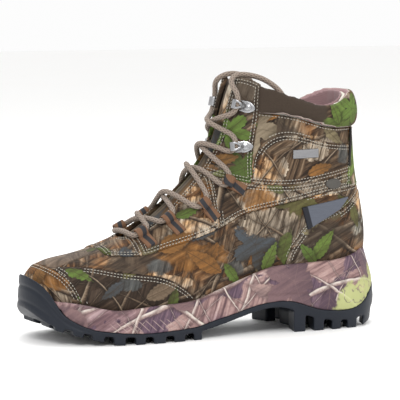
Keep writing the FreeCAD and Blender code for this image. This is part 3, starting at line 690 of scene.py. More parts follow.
def map_cloth(made, per_vertex):
    """Gives the piece its flat coordinates, one pair for each vertex."""
    layer = made.data.uv_layers.get("cloth") or made.data.uv_layers.new(name="cloth")
    index = np.zeros(len(made.data.loops), int)
    made.data.loops.foreach_get("vertex_index", index)
    layer.data.foreach_set("uv", np.ascontiguousarray(per_vertex[index]).ravel())
    return made


def frames_along(path):
    """A direction along, and two across, at each point of a line. They turn as little as they can."""
    along = np.gradient(path, axis=0)
    along /= np.linalg.norm(along, axis=1)[:, None]
    side = np.zeros_like(along)
    start = np.cross(along[0], (0.0, 1.0, 0.0))
    side[0] = start / np.linalg.norm(start)
    for k in range(1, len(path)):
        s = side[k - 1] - along[k] * side[k - 1].dot(along[k])
        side[k] = s / np.linalg.norm(s)
    return along, side, np.cross(along, side)


def ring_tube(name, path, radius, material, sides=SIDES, flat=1.0):
    """A closed tube of rings along a line, with a map of metres along and turns round."""
    _, side, up = frames_along(path)
    angles = np.linspace(0.0, 2.0 * math.pi, sides, endpoint=False)
    circle = (np.cos(angles)[None, :, None] * side[:, None, :]
              + flat * np.sin(angles)[None, :, None] * up[:, None, :])
    rings = path[:, None, :] + radius * circle
    vertices = rings.reshape(-1, 3)
    faces = []
    for k in range(len(path) - 1):
        for j in range(sides):
            a, b = k * sides + j, k * sides + (j + 1) % sides
            faces.append((a, b, b + sides, a + sides))
    faces.append(tuple(range(sides - 1, -1, -1)))
    faces.append(tuple((len(path) - 1) * sides + j for j in range(sides)))
    made = new_object(name, vertices, faces)
    run = np.concatenate([[0.0], np.cumsum(np.linalg.norm(np.diff(path, axis=0), axis=1))])
    around = np.array([f / sides for f in range(sides)])
    layer = made.data.uv_layers.new(name="cloth")
    uv = np.zeros((len(made.data.loops), 2))
    index = np.zeros(len(made.data.loops), int)
    made.data.loops.foreach_get("vertex_index", index)
    uv[:, 0] = run[index // sides]
    uv[:, 1] = around[index % sides]
    for k in range(len(path) - 1):
        face = k * sides + sides - 1
        for corner in (1, 2):
            uv[face * 4 + corner, 1] = 1.0
    layer.data.foreach_set("uv", uv.ravel())
    only(made)
    bpy.ops.object.shade_smooth()
    return wear(made, material)


lace = ring_tube("boot_lace", LACE_PATH, LACE_DIAMETER / 2.0, LACE, flat=0.92)
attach(lace, "boot")
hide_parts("lace")
print("lace faces", len(lace.data.polygons))

# %% [markdown]
# ## Fabric panels
# The upper is cut fabric, folded and sewn, so its edges are soft and the seams sink a little. The
# CAD panels have the right outline but knife edges. A voxel remesh turns each into an even net,
# and smoothing that net rounds the edges as a folded hem is. Panels that are sewn on top of others
# are pushed out by half a millimetre. A sculpt would do this too, but a remesh is repeatable.

# %% From a CAD panel to a soft panel
VOXEL = 0.00085


def merged_copy(name, *nodes):
    """One mesh with the solids of these CAD nodes, with their corners joined."""
    vertices, faces = [], []
    for node in nodes:
        start = len(vertices)
        vertices += [tuple(v.co) for v in NODES[node].data.vertices]
        faces += [tuple(start + i for i in f.vertices) for f in NODES[node].data.polygons]
    made = only(new_object(name, vertices, faces))
    bpy.ops.object.mode_set(mode="EDIT")
    bpy.ops.mesh.select_all(action="SELECT")
    bpy.ops.mesh.remove_doubles(threshold=0.000002)
    bpy.ops.object.mode_set(mode="OBJECT")
    return made


def even_net(made, voxel=VOXEL, smooth=4, strength=0.5):
    """Remeshes a closed shape into small even faces, then rounds its edges."""
    remesh = made.modifiers.new("remesh", "REMESH")
    remesh.mode = "VOXEL"
    remesh.voxel_size = voxel
    remesh.use_smooth_shade = True
    if smooth:
        soft = made.modifiers.new("soft", "SMOOTH")
        soft.factor = strength
        soft.iterations = smooth
    apply_all(made)
    only(made)
    bpy.ops.object.shade_smooth()
    return made


def core_of(co):
    """The point inside the boot that each point faces away from."""
    core = np.zeros_like(co)
    shaft = np.clip((co[:, 2] - 0.085) / 0.03, 0.0, 1.0)
    core[:, 0] = np.clip(co[:, 0], -0.095, 0.088) * (1.0 - shaft) + np.clip(co[:, 0], 0.055, 0.095) * shaft
    core[:, 2] = np.minimum(co[:, 2], 0.045) * (1.0 - shaft) + co[:, 2] * shaft
    return core


def outward_share(made):
    """1 on the side of a panel that shows, and 0 on the side that lies on the boot."""
    co, n = points_of(made), normals_of(made)
    away = co - core_of(co)
    away /= np.maximum(np.linalg.norm(away, axis=1), 1e-6)[:, None]
    return np.clip((n * away).sum(axis=1) * 2.0 + 0.2, 0.0, 1.0)


def lift(made, height):
    """Pushes the showing side of a panel out by a height."""
    share = outward_share(made)
    set_points(made, points_of(made) + normals_of(made) * (share * height)[:, None])
    return made


# Where each panel's cloth was cut from the roll: the flat coordinates, in metres.
def flat_side(co):
    return np.stack([co[:, 0], co[:, 2] - 0.55 * np.abs(co[:, 1]) + 0.4 * (co[:, 1] > 0)], axis=1)


def flat_toe(co):
    x, y = co[:, 0] + 0.108, co[:, 1] - 0.002
    r = np.hypot(x, y)
    return np.stack([np.arctan2(y, -x) * 0.038, co[:, 2] - r + 0.21], axis=1)


def flat_heel(co):
    return np.stack([np.arctan2(co[:, 1], co[:, 0] - 0.10) * 0.037 + 0.35, co[:, 2]], axis=1)


def flat_top(co):
    return np.stack([(co[:, 0] + co[:, 2]) * 0.707 + 0.17, co[:, 1]], axis=1)


PANELS = [
    ("toe_cap", flat_toe, "mixed", 0.0006, (0.031, 0.012)),
    ("vamp", flat_top, "taupe", 0.0, (0.1, 0.0)),
    ("throat_panel", flat_top, "mixed", 0.0008, (0.043, 0.01)),
    ("heel_overlay", flat_heel, "mixed", 0.0006, (0.011, 0.02)),
    ("backstay", flat_heel, "green", 0.0006, (0.09, 0.04)),
    ("lower_vamp_lateral", flat_side, "dark", 0.0003, (0.05, 0.0)),
    ("lower_vamp_medial", flat_side, "dark", 0.0003, (0.09, 0.0)),
    ("quarter_lateral", flat_side, "mixed", 0.0, (0.0, 0.0)),
    ("quarter_medial", flat_side, "mixed", 0.0, (0.13, 0.05)),
    ("facing_lateral", flat_side, "mixed", 0.0008, (0.36, 0.06)),
    ("facing_medial", flat_side, "mixed", 0.0008, (0.27, 0.16)),
    ("ankle_band_lateral", flat_side, "mixed", 0.0006, (0.21, 0.22)),
    ("ankle_band_medial", flat_side, "mixed", 0.0006, (0.12, 0.31)),
    ("upper_facing_lateral", flat_side, "green", 0.0007, (0.02, 0.05)),
    ("upper_facing_medial", flat_side, "green", 0.0007, (0.22, 0.15)),
    ("ankle_panel_lateral", flat_side, "mixed", 0.0006, (0.51, 0.17)),
    ("ankle_panel_medial", flat_side, "mixed", 0.0006, (0.47, 0.09)),
    ("collar_band_lateral", flat_side, "mixed", 0.0, (0.14, 0.33)),
    ("collar_band_medial", flat_side, "mixed", 0.0, (0.41, 0.27)),
]

# %% [markdown]
# The lattice of cuts decides which part of the print shows, so most panels share one fabric. Three
# more are needed: a plain taupe strip for the vamp, a leafy green for the facings and backstay, and
# the smooth dark brown that the collar is bound with.

# %% More fabrics
FABRICS["green"] = camouflage_fabric("camouflage_green", dict(
    WOODS, gap=0.40, pale=(),
    tints=(((0.060, 0.045, 0.034), ((30.0, 190.0, 26.0, 21.0), (38.0, 152.0, 9.0, 14.0))),),
    clear=((30.0, 192.0, 26.0, 21.0),),
    placed=((20.0, 160.0, 15.0, 0.9, lobed_leaf, (0.12, 0.195, 0.040)),
            (27.0, 131.0, 15.0, 2.2, lobed_leaf, (0.085, 0.14, 0.03)),
            (14.0, 138.0, 10.0, 0.2, long_leaf, (0.22, 0.11, 0.035)),
            (124.0, 135.0, 16.0, 1.2, long_leaf, (0.17, 0.25, 0.05))),
    leaf=[(0.0, (0.12, 0.185, 0.036)), (0.35, (0.08, 0.125, 0.026)), (0.55, (0.16, 0.23, 0.05)),
          (0.78, (0.25, 0.20, 0.13)), (0.92, (0.20, 0.09, 0.03))]), 83.0)
FABRICS["taupe"] = camouflage_fabric("camouflage_taupe", dict(
    WOODS, gap=0.95, pale=(), tints=(), placed=(),
    ground=[(0.30, (0.085, 0.064, 0.05)), (0.50, (0.165, 0.125, 0.097)), (0.70, (0.27, 0.215, 0.17))],
    bark=[(0.34, (0.10, 0.075, 0.058)), (0.60, (0.25, 0.20, 0.16))]), 11.0)
print("fabrics", sorted(FABRICS))

# %% Make the panels
SOFT = {}
for name, flat, fabric, height, offset in PANELS:
    panel = even_net(merged_copy("panel_" + name, name))
    if height:
        lift(panel, height)
    map_cloth(panel, flat(points_of(panel)) + np.array(offset))
    wear(panel, FABRICS[fabric])
    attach(panel, "boot")
    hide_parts(name)
    SOFT[name] = panel
print("panels", len(SOFT), "faces", sum(len(p.data.polygons) for p in SOFT.values()))

# %% [markdown]
# ## Padded collar and tongue
# The collar is a strip of cloth folded over foam, and the tongue is a foam pad in a cloth bag. Cloth
# over foam bulges between its seams. A short cloth simulation with air pressure inside gives that
# bulge. The collar's outer wall is pushed out first and the tongue starts a little too thin. Gravity
# is off, and no point may move further than its cap, so the pad stays in the room that the boot
# leaves it.

# %% Inflate a pad


def mark(made, name, values):
    """Stores one number for each vertex, for a material to read."""
    layer = made.data.attributes.get(name) or made.data.attributes.new(name, "FLOAT", "POINT")
    layer.data.foreach_set("value", np.ascontiguousarray(values, dtype=np.float32))
    return made


def shrink(made, depth):
    set_points(made, points_of(made) - normals_of(made) * depth)
    return made


def inflate(made, pressure, cap, tension, frames=20):
    """Cloth with air inside, stopped after a few frames. No point moves further than the cap."""
    before = points_of(made)
    cloth = made.modifiers.new("cloth", "CLOTH")
    cloth.settings.quality = 5
    cloth.settings.mass = 0.3
    cloth.settings.tension_stiffness = tension
    cloth.settings.compression_stiffness = tension
    cloth.settings.bending_stiffness = 2.0
    cloth.settings.use_pressure = True
    cloth.settings.uniform_pressure_force = pressure
    cloth.settings.effector_weights.gravity = 0.0
    cloth.point_cache.frame_end = frames
    for frame_number in range(1, frames + 1):
        bpy.context.scene.frame_set(frame_number)
    apply_all(made)
    bpy.context.scene.frame_set(1)
    moved = points_of(made) - before
    far = np.linalg.norm(moved, axis=1)
    print(made.name, "swelled by", round(float(np.median(far)) * 1000.0, 2), "mm")
    set_points(made, before + moved * (np.minimum(far, cap) / np.maximum(far, 1e-9))[:, None])
    return made


def subdivided(made, levels=1):
    finer = made.modifiers.new("finer", "SUBSURF")
    finer.levels = levels
    finer.render_levels = levels
    return apply_all(made)


# %% Two-sided cloth


def two_sided(name, palette, shift, dark=None):
    """Printed cloth outside and mauve lining inside, with a pale edge between them."""
    shader = Shader(name)
    colour, height = camouflage(shader, palette, shift)
    inside = shader.node("ShaderNodeAttribute", {"attribute_name": "inside"}, output=2)
    where = shader.place()
    x, y, z = shader.parts(where)
    fibre = shader.noise(where, 1600.0, 3.0)
    if dark is not None:
        front = (x + (shader.noise(where, 50.0, 2.0) - 0.5) * 0.02).below(dark, 0.006)
        brown = shader.mix(fibre, (0.026, 0.018, 0.013), (0.060, 0.043, 0.031))
        colour = shader.mix(front, colour, brown)
    rows = ((z * 4200.0).math("SINE") * ((x + y) * 3000.0).math("SINE")) * 0.5 + 0.5
    lining = shader.mix(rows * 0.4 + (fibre - 0.5) * 0.8, (0.34, 0.215, 0.22), (0.19, 0.115, 0.12))
    colour = shader.mix(inside.above(0.5, 0.04), colour, lining)
    colour = shader.mix(abs(inside - 0.5).below(0.045, 0.02), colour, (0.46, 0.40, 0.35))
    return shader.finish(colour, 0.85, height * 0.5 + rows, 0.3, 0.0003)


COLLAR_CLOTH = two_sided("collar_cloth", dict(
    WOODS, gap=0.25, pale=(), tints=(((0.05, 0.05, 0.045), ((108.0, 172.0, 9.0, 14.0),)),),
    placed=((118.0, 176.0, 13.0, 1.2, lobed_leaf, (0.12, 0.19, 0.04)),
            (101.0, 173.0, 9.0, 2.0, long_leaf, (0.115, 0.18, 0.036)))),
    19.0, dark=0.094)
TONGUE_CLOTH = two_sided("tongue_cloth", dict(
    WOODS, gap=0.40, pale=(), tints=(), placed=(),
    ground=[(0.30, (0.035, 0.038, 0.040)), (0.5, (0.10, 0.09, 0.075)), (0.7, (0.26, 0.20, 0.14))]), 53.0)

# %% Padded collar
COLLAR_FOOT = [(30, 175.5), (41, 174), (57.5, 172), (75, 168), (96, 162), (119, 161), (160, 161)]
COLLAR_TOP = [(30, 201.5), (40, 197), (56, 190.5), (73, 185), (88, 180.5), (100, 180.5), (112, 185),
              (121, 190), (160, 191.5)]


def height_at(x, line):
    return np.interp(x, [p[0] * MM for p in line], [p[1] * MM for p in line])


def plump(made, fat):
    """Pushes the wall of the collar out between its two seams, most in the middle."""
    co, n = points_of(made), normals_of(made)
    foot, top = height_at(co[:, 0], COLLAR_FOOT), height_at(co[:, 0], COLLAR_TOP)
    share = np.clip((co[:, 2] - foot) / (top - foot), 0.0, 1.0)
    bulge = np.sin(np.pi * share ** 0.9) ** 0.8
    ends = np.clip((co[:, 0] - 0.040) / 0.010, 0.0, 1.0)
    away = co - core_of(co)
    away[:, 2] = 0.0
    away /= np.linalg.norm(away, axis=1)[:, None]
    outer = np.clip((n * away).sum(axis=1) * 1.6 + 0.2, 0.0, 1.0)
    rear = 1.0 + 0.35 * np.clip((co[:, 0] - 0.10) / 0.02, 0.0, 1.0)
    set_points(made, co + away * (bulge * ends * outer * rear * fat)[:, None])
    return made


collar = even_net(merged_copy("padded_collar", "collar_roll"), 0.0026, 2)
plump(collar, 0.0026)
inflate(collar, 20.0, 0.0016, 15.0)
subdivided(collar)
co, n = points_of(collar), normals_of(collar)
# The even net rounds the front ends back a little, so they are drawn forward to the facings again.
co[:, 0] -= 0.0024 * np.clip((0.050 - co[:, 0]) / 0.008, 0.0, 1.0)
set_points(collar, co)
away = co - core_of(co)
away[:, 2] = 0.0
away /= np.linalg.norm(away, axis=1)[:, None]
mark(collar, "inside", 0.5 - 0.5 * ((n * away).sum(axis=1) + 0.35 * n[:, 2] - 0.1))
map_cloth(collar, flat_heel(co))
wear(collar, COLLAR_CLOTH)
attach(collar, "boot")
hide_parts("collar_roll")
print("collar faces", len(collar.data.polygons), "box", [round(v, 3) for v in co.min(axis=0)],
      [round(v, 3) for v in co.max(axis=0)])

# %% Padded tongue
tongue = even_net(merged_copy("padded_tongue", "tongue_cover", "tongue_padding", "tongue_lining"),
                  0.0024, 3)
shrink(tongue, 0.0004)
inflate(tongue, 4.0, 0.0012, 30.0)
subdivided(tongue)
co, n = points_of(tongue), normals_of(tongue)
outer = n[:, 2] * 0.45 - n[:, 0] * 0.9
mark(tongue, "inside", 0.5 - 0.5 * (outer + 0.25))
map_cloth(tongue, np.stack([(co[:, 2] - co[:, 0]) * 0.75, co[:, 1]], axis=1))
wear(tongue, TONGUE_CLOTH)
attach(tongue, "tongue")
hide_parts("tongue_cover", "tongue_padding", "tongue_lining")
print("tongue faces", len(tongue.data.polygons), "box", [round(v, 3) for v in co.min(axis=0)],
      [round(v, 3) for v in co.max(axis=0)])

# %% [markdown]
# ## Inside the boot
# Behind the panels lie quilted insulation and a knitted lining, and a footbed that lifts out. They
# are seen only through the opening, but the part is looked at from above too. The same even net
# rounds them. The stiffeners, the board and the shank are sheet goods, so they keep their CAD shape.

# %% Lining, insulation and footbed
INSIDE = [("lining", 0.0011, LINING, "boot", "lining"), ("insulation", 0.0022, FOAM, "boot", "insulation"),
          ("footbed", 0.0013, None, "footbed", "footbed")]


def footbed_cloth():
    """Brushed cloth on foam: dark pile mottled with paler fibre."""
    shader = Shader("footbed_cloth")
    where = shader.place()
    pile = shader.noise(where, 1300.0, 4.0, 0.7)
    mottle = shader.noise(where, 40.0, 2.0)
    colour = shader.mix((pile * 0.7 + mottle * 0.5 - 0.1).most(0.0).least(1.0), (0.045, 0.040, 0.042),
                        (0.16, 0.13, 0.135))
    return shader.finish(colour, 0.92, pile, 0.6, 0.0004, Sheen_Weight=0.3)


FOOTBED_CLOTH = footbed_cloth()
for name, voxel, material, body, slot in INSIDE:
    layer = even_net(merged_copy("soft_" + name, name), voxel * (1.0), 2)
    wear(layer, material or FOOTBED_CLOTH)
    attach(layer, body)
    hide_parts(name)
    print(name, "faces", len(layer.data.polygons))
for name, material in (("toe_puff", STIFF), ("heel_counter", STIFF), ("insole_board", BOARD),
                       ("shank", STEEL),
                       ("aglets", TIP)):
    wear(NODES[name], material)

# %% [markdown]
# ## Sole
# The midsole is moulded foam that wraps the upper, with creases pressed into its wall and a ribbed
# band under the ball of the foot. The creases are vertex moves on the even net: each point near a
# crease line sinks by a bell curve of its distance. The outsole is rubber, with a rim round the
# toe bumper, and gets its rims the same way. Fine ribs are left to the material's bump.

# %% Press creases into a wall


def line_gap(x, z, line):
    """How far each point lies from a line of corners, seen from the side."""
    best = np.full(len(x), 9.0)
    for (ax, az), (bx, bz) in zip(line[:-1], line[1:]):
        ax, az, bx, bz = ax * MM, az * MM, bx * MM, bz * MM
        dx, dz = bx - ax, bz - az
        t = np.clip(((x - ax) * dx + (z - az) * dz) / (dx * dx + dz * dz), 0.0, 1.0)
        best = np.minimum(best, np.hypot(x - ax - t * dx, z - az - t * dz))
    return best


def rounded(line, times=2):
    """The line with its corners cut, so that it bends smoothly."""
    for _ in range(times):
        cut = [line[0]]
        for (ax, az), (bx, bz) in zip(line[:-1], line[1:]):
            cut += [(ax * 0.75 + bx * 0.25, az * 0.75 + bz * 0.25),
                    (ax * 0.25 + bx * 0.75, az * 0.25 + bz * 0.75)]
        line = cut + [line[-1]]
    return line


def press(made, lines):
    """Sinks (or, with a negative depth, raises) the wall along lines given in millimetres."""
    co, n = points_of(made), normals_of(made)
    wall = np.clip((0.75 - np.abs(n[:, 2])) * 3.0, 0.0, 1.0) * (outward_share(made) > 0.4)
    depth = np.zeros(len(co))
    for line, deep, wide in lines:
        gap = line_gap(co[:, 0], co[:, 2], rounded(line))
        depth += deep * MM * np.exp(-(gap / (wide * MM)) ** 2)
    set_points(made, co - n * (depth * wall)[:, None])
    return made


def flare(made):
    """Swells the back of the heel cup, tucks in its foot, and draws the toe bumper in a little."""
    co = points_of(made)
    x, z = co[:, 0], co[:, 2]
    back = np.clip((x - 0.105) / 0.045, 0.0, 1.0) ** 1.5
    swell = 0.0030 * np.exp(-((z - 0.040) / 0.016) ** 2) - 0.0022 * np.clip((0.016 - z) / 0.016, 0.0, 1.0)
    co[:, 0] += back * swell
    rise = np.clip((x - 0.132) / 0.020, 0.0, 1.0) * np.clip((0.020 - z) / 0.020, 0.0, 1.0)
    co[:, 2] += 0.0022 * rise
    front = np.clip((-0.118 - x) / 0.033, 0.0, 1.0)
    co[:, 0] += 0.0022 * front * np.clip((0.050 - z) / 0.03, 0.0, 1.0)
    set_points(made, co)
    return made


MIDSOLE_LINES = [
    ([(-130, 27), (-121, 18), (-110, 14), (-96, 14), (-84, 18), (-72, 23.5), (-60, 27), (-50, 30)], 0.9,
     1.3),
    ([(-118, 26), (-104, 22), (-90, 23), (-78, 26)], -0.9, 4.5),
    ([(-84, 19), (-62, 20), (-42, 18), (-25, 18), (-8, 20), (10, 24), (30, 30)], 0.6, 1.2),
    ([(34, 31), (50, 29.5), (70, 30), (88, 28.5), (104, 30), (118, 34), (124, 38), (117, 42),
      (100, 42)], 1.0, 1.4),
    ([(100, 46), (114, 46), (127, 43), (135, 35), (137, 24)], 0.7, 1.4),
    ([(50, 44), (75, 40), (98, 36)], -0.8, 6.5),
    ([(70, 22), (95, 20), (115, 22)], -0.6, 3.5),
]
midsole = even_net(merged_copy("midsole_foam", "midsole"), 0.00105, 3)
press(flare(midsole), MIDSOLE_LINES)
map_cloth(midsole, flat_side(points_of(midsole)) + np.array((0.3, 0.3)))
wear(midsole, MIDSOLE)
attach(midsole, "boot")
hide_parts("midsole")

OUTSOLE_LINES = [
    ([(-153, 45), (-147, 43), (-141, 37), (-136, 28), (-131, 20.5), (-122, 14.5), (-112, 11)], 0.8, 1.1),
    ([(-153, 34), (-146, 30), (-138, 22)], 0.6, 1.2),
]
outsole = even_net(merged_copy("outsole_rubber", "outsole"), 0.00095, 2)
press(flare(outsole), OUTSOLE_LINES)
wear(outsole, RUBBER)
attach(outsole, "boot")
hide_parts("outsole")
print("midsole", len(midsole.data.polygons), "outsole", len(outsole.data.polygons))

# %% [markdown]
# ## Small parts
# The lace runs through folded webbing with a dark middle stripe, and round nickel hooks that are
# riveted down. A slate badge, a metal label and an oval label are sewn on. They carry no lettering.

# %% Webbing loops


def islands_of(made):
    """Which separate solid each vertex belongs to."""
    label = np.arange(len(made.data.vertices))
    ends = np.zeros(len(made.data.edges) * 2, int)
    made.data.edges.foreach_get("vertices", ends)
    ends = ends.reshape(-1, 2)
    while True:
        low = np.minimum(label[ends[:, 0]], label[ends[:, 1]])
        new = label.copy()
        np.minimum.at(new, ends[:, 0], low)
        np.minimum.at(new, ends[:, 1], low)
        new = new[new]
        if (new == label).all():
            return label
        label = new


for side in ("lateral", "medial"):
    name = "webbing_loops_" + side
    loops = even_net(merged_copy("striped_" + name, name), 0.0004, 3)
    co, label = points_of(loops), islands_of(loops)
    flat = np.zeros((len(co), 2))
    for number in np.unique(label):
        own = label == number
        middle = co[own].mean(axis=0)
        out = middle - core_of(middle[None])[0]
        out /= np.linalg.norm(out)
        spread = co[own] - middle
        in_plane = spread - spread.dot(out)[:, None] * out
        along = np.linalg.svd(in_plane, full_matrices=False)[2][0]
        across = np.cross(out, along)
        flat[own] = np.stack([spread.dot(across), spread.dot(along) + 0.05], axis=1)
    map_cloth(loops, flat)
    wear(loops, WEBBING)
    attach(loops, "boot")
    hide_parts(name)
    print(name, "loops", len(np.unique(label)), "faces", len(loops.data.polygons))

# %% [markdown]
# A speed hook is stamped from nickel-plated sheet: a pointed plate lies on the cloth, and its
# front end curls back over the lace and ends in a lip with a three-cornered hole. A domed rivet
# holds the plate. The curl is a flat grid laid along a J-shaped line, given its thickness by a
# Solidify modifier and its round edges by a Bevel. It is modelled once and copied to the four
# places that the CAD rivets give.

# %% One hook
HOOK_SHEET = 0.0011
CURL_FLAT = 0.008       # the straight run before the bend
CURL_RADIUS = 0.0034    # of the bend round the lace
CURL_LIP = 0.0052       # the straight lip after it
PLATE_LIFT = 0.0006     # the plate's middle above the cloth
RIVET_RADIUS = 0.0031
RIVET_BACK = 0.0056     # from the hook's middle back to the rivet


def finished(made, thickness=0.0, bevel=0.0, levels=0):
    """Gives a sheet its thickness, then round edges, then a finer surface."""
    if thickness:
        wall = made.modifiers.new("wall", "SOLIDIFY")
        wall.thickness = thickness
        wall.offset = 0.0
    if bevel:
        edge = made.modifiers.new("edge", "BEVEL")
        edge.width = bevel
        edge.segments = 2
        edge.limit_method = "ANGLE"
        edge.angle_limit = math.radians(40.0)
    if levels:
        finer = made.modifiers.new("finer", "SUBSURF")
        finer.levels = levels
        finer.render_levels = levels
    apply_all(made)
    bpy.ops.object.shade_smooth()
    return made


def delete_selected_faces(made):
    only(made)
    bpy.ops.object.mode_set(mode="EDIT")
    bpy.ops.mesh.delete(type="FACE")
    bpy.ops.object.mode_set(mode="OBJECT")


def curl():
    """The sheet along the plate, round the lace and back as a lip. X is to the throat, Z is out."""
    bpy.ops.object.select_all(action="DESELECT")
    bpy.ops.mesh.primitive_grid_add(x_subdivisions=30, y_subdivisions=8, size=1.0)
    made = bpy.context.object
    co = points_of(made)
    run, wide = co[:, 0] + 0.5, co[:, 1]
    length = CURL_FLAT + math.pi * CURL_RADIUS + CURL_LIP
    s = run * length
    turn = np.clip((s - CURL_FLAT) / CURL_RADIUS, 0.0, math.pi)
    back = np.clip(s - CURL_FLAT - math.pi * CURL_RADIUS, 0.0, None)
    x = np.where(s < CURL_FLAT, s - 0.005, 0.003 + CURL_RADIUS * np.sin(turn) - back)
    z = PLATE_LIFT + CURL_RADIUS * (1.0 - np.cos(turn)) - back * 0.06
    narrowing = 0.0006 * np.clip((s - 0.006) / 0.008, 0.0, 1.0)
    half = 0.0043 - narrowing - 0.0021 * np.clip(back / CURL_LIP, 0.0, 1.0) ** 1.6
    set_points(made, np.stack([x, wide * 2.0 * half, z], axis=1))
    bpy.ops.object.mode_set(mode="EDIT")
    bpy.ops.mesh.select_all(action="DESELECT")
    bpy.ops.mesh.select_mode(type="FACE")
    bpy.ops.object.mode_set(mode="OBJECT")
    for face in made.data.polygons:
        cx, cy, cz = face.center
        reach = 0.0032 - cx
        face.select = cz > 0.0058 and 0.0006 < reach < 0.0044 and abs(cy) < 0.0021 - 0.42 * (reach - 0.0006)
    delete_selected_faces(made)
    return finished(made, HOOK_SHEET, 0.0003, 1)


def plate():
    """The pointed plate under the rivet."""
    bpy.ops.object.select_all(action="DESELECT")
    bpy.ops.mesh.primitive_circle_add(vertices=32, radius=1.0, fill_type="NGON")
    made = bpy.context.object
    co = points_of(made)
    angle = np.arctan2(co[:, 1], co[:, 0])
    x = np.cos(angle) * 0.0072
    rear = np.clip(-np.cos(angle), 0.0, 1.0)
    y = np.sin(angle) * 0.0047 * (1.0 - 0.25 * rear ** 2)
    set_points(made, np.stack([x - 0.0045, y, np.full(len(co), PLATE_LIFT)], axis=1))
    return finished(made, 0.0010, 0.00035)


def dome():
    """The rivet: a low dome with a dimple ring."""
    bpy.ops.object.select_all(action="DESELECT")
    bpy.ops.mesh.primitive_uv_sphere_add(segments=32, ring_count=20, radius=RIVET_RADIUS)
    made = bpy.context.object
    co = points_of(made)
    away = np.hypot(co[:, 0], co[:, 1]) / RIVET_RADIUS
    dimple = 0.0003 * np.exp(-((away - 0.66) / 0.09) ** 2)
    high = np.sqrt(np.clip(1.0 - away ** 3.5, 0.0, 1.0)) * 0.0013 - dimple
    co[:, 2] = np.where(co[:, 2] > 0, high, -0.0004)
    co[:, 2] += 0.0013
    co[:, 0] -= RIVET_BACK
    set_points(made, co)
    bpy.ops.object.shade_smooth()
    return made


HOOK_PARTS = [curl(), plate(), dome()]
hook_points, hook_faces = [], []
for part in HOOK_PARTS:
    start = sum(len(p) for p in hook_points)
    hook_points.append(points_of(part))
    hook_faces += [tuple(start + i for i in f.vertices) for f in part.data.polygons]
    bpy.data.objects.remove(part)
hook_points = np.concatenate(hook_points)
print("hook faces", len(hook_faces))

# %% Four hooks in their places


def solids_in(node):
    """The points of each separate solid of a CAD node."""
    plain = merged_copy("count_" + node, node)
    co, label = points_of(plain), islands_of(plain)
    bpy.data.objects.remove(plain)
    return [co[label == number] for number in np.unique(label)]


places = []
curls = [p.mean(axis=0) for p in solids_in("speed_hooks")]
for rivet in solids_in("hook_rivets"):
    middle = rivet.mean(axis=0)
    out = np.linalg.svd(rivet - middle, full_matrices=False)[2][2]
    out *= np.sign(out.dot(middle - core_of(middle[None])[0]))
    near = min(curls, key=lambda c: np.linalg.norm(c - middle))
    across = near - middle
    across -= out * across.dot(out)
    across /= np.linalg.norm(across)
    base = middle + out * ((rivet - middle).dot(out).min() - 0.00135)
    places.append((base + across * RIVET_BACK, across, np.cross(out, across), out))
vertices = np.concatenate([o + hook_points[:, :1] * a + hook_points[:, 1:2] * b + hook_points[:, 2:] * c
                           for o, a, b, c in places])
faces = [tuple(k * len(hook_points) + i for i in f) for k in range(len(places)) for f in hook_faces]
hooks = new_object("nickel_hooks", vertices, faces)
only(hooks)
bpy.ops.object.shade_smooth()
wear(hooks, NICKEL_PAINTED_REFLECTION)
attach(hooks, "boot")
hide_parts("speed_hooks", "hook_rivets")
print("hooks", len(places), "faces", len(hooks.data.polygons))

# %% Labels, badge and piping
# The panel inside each label's raised rim: x and z of its middle, half sizes, and depth.
SUNK = {"rectangle_label": (76.5, 141.4, 9.2, 2.2, 0.35), "oval_label": (101.5, 116.5, 4.4, 1.9, 0.25)}
RAISED = {"rectangle_label": 0.0008, "oval_label": 0.0011, "heel_badge": 0.0005, "piping_lateral": 0.0004,
          "piping_medial": 0.0004}


def slate_badge():
    """Moulded slate plastic with a darker wedge at its front corner."""
    shader = Shader("slate_badge")
    where = shader.place()
    x, _, z = shader.parts(where)
    pores = shader.noise(where, 1600.0, 3.0)
    brushed = shader.noise(shader.vector(x * 90.0, 0.0, z * 1400.0), 1.0, 2.0)
    colour = shader.mix(pores * 0.4 + brushed * 0.6, (0.060, 0.066, 0.086), (0.115, 0.125, 0.150))
    wedge = (z * 1000.0 - 80.5 + (x * 1000.0 - 79.0) * 3.5 - 16.0).below(0.0, 1.2)
    colour = shader.mix(wedge, colour, (0.014, 0.015, 0.020))
    return shader.finish(colour, 0.40 + pores * 0.15, brushed * 0.5 + pores, 0.2, 0.0002)


BADGE = slate_badge()
for name, voxel, material, slot in (("heel_badge", 0.00045, BADGE, "badge"),
                                    ("rectangle_label", 0.0003, SILVER, "label_silver"),
                                    ("oval_label", 0.0003, INK, "label_dark"),
                                    ("piping_lateral", 0.00035, PIPING, "piping"),
                                    ("piping_medial", 0.00035, PIPING, "piping")):
    piece = even_net(merged_copy("sewn_" + name, name), voxel * (1.0), 3)
    if name in RAISED:
        lift(piece, RAISED[name])
    sink = SUNK.get(name)
    if sink:
        px, pz, wide, high, depth = (v * MM for v in sink)
        co, n = points_of(piece), normals_of(piece)
        gap = np.maximum(np.abs(co[:, 0] - px) - wide, np.abs(co[:, 2] - pz) - high)
        sunk = np.clip(0.5 - gap / 0.0005, 0.0, 1.0)
        set_points(piece, co - n * (sunk * depth * outward_share(piece))[:, None])
    wear(piece, material)
    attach(piece, "boot")
    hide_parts(name)
    SOFT[name] = piece
    print(name, "faces", len(piece.data.polygons))

# %% [markdown]
# ## Stitching
# Two rows of stitches, one pale and one dark, follow the edge of each panel that is sewn on top. The
# edge is found on the CAD panel: it is where the showing face meets the cut edge at a sharp angle.
# Each edge is chained, smoothed and moved inwards over the panel. A stitch is a small capsule, drawn
# once and copied, and all stitches of one thread become one mesh.

# %% Find the edges of a panel


SHARP_RIM = 0.75        # the faces at a rim turn by more than the angle with this cosine


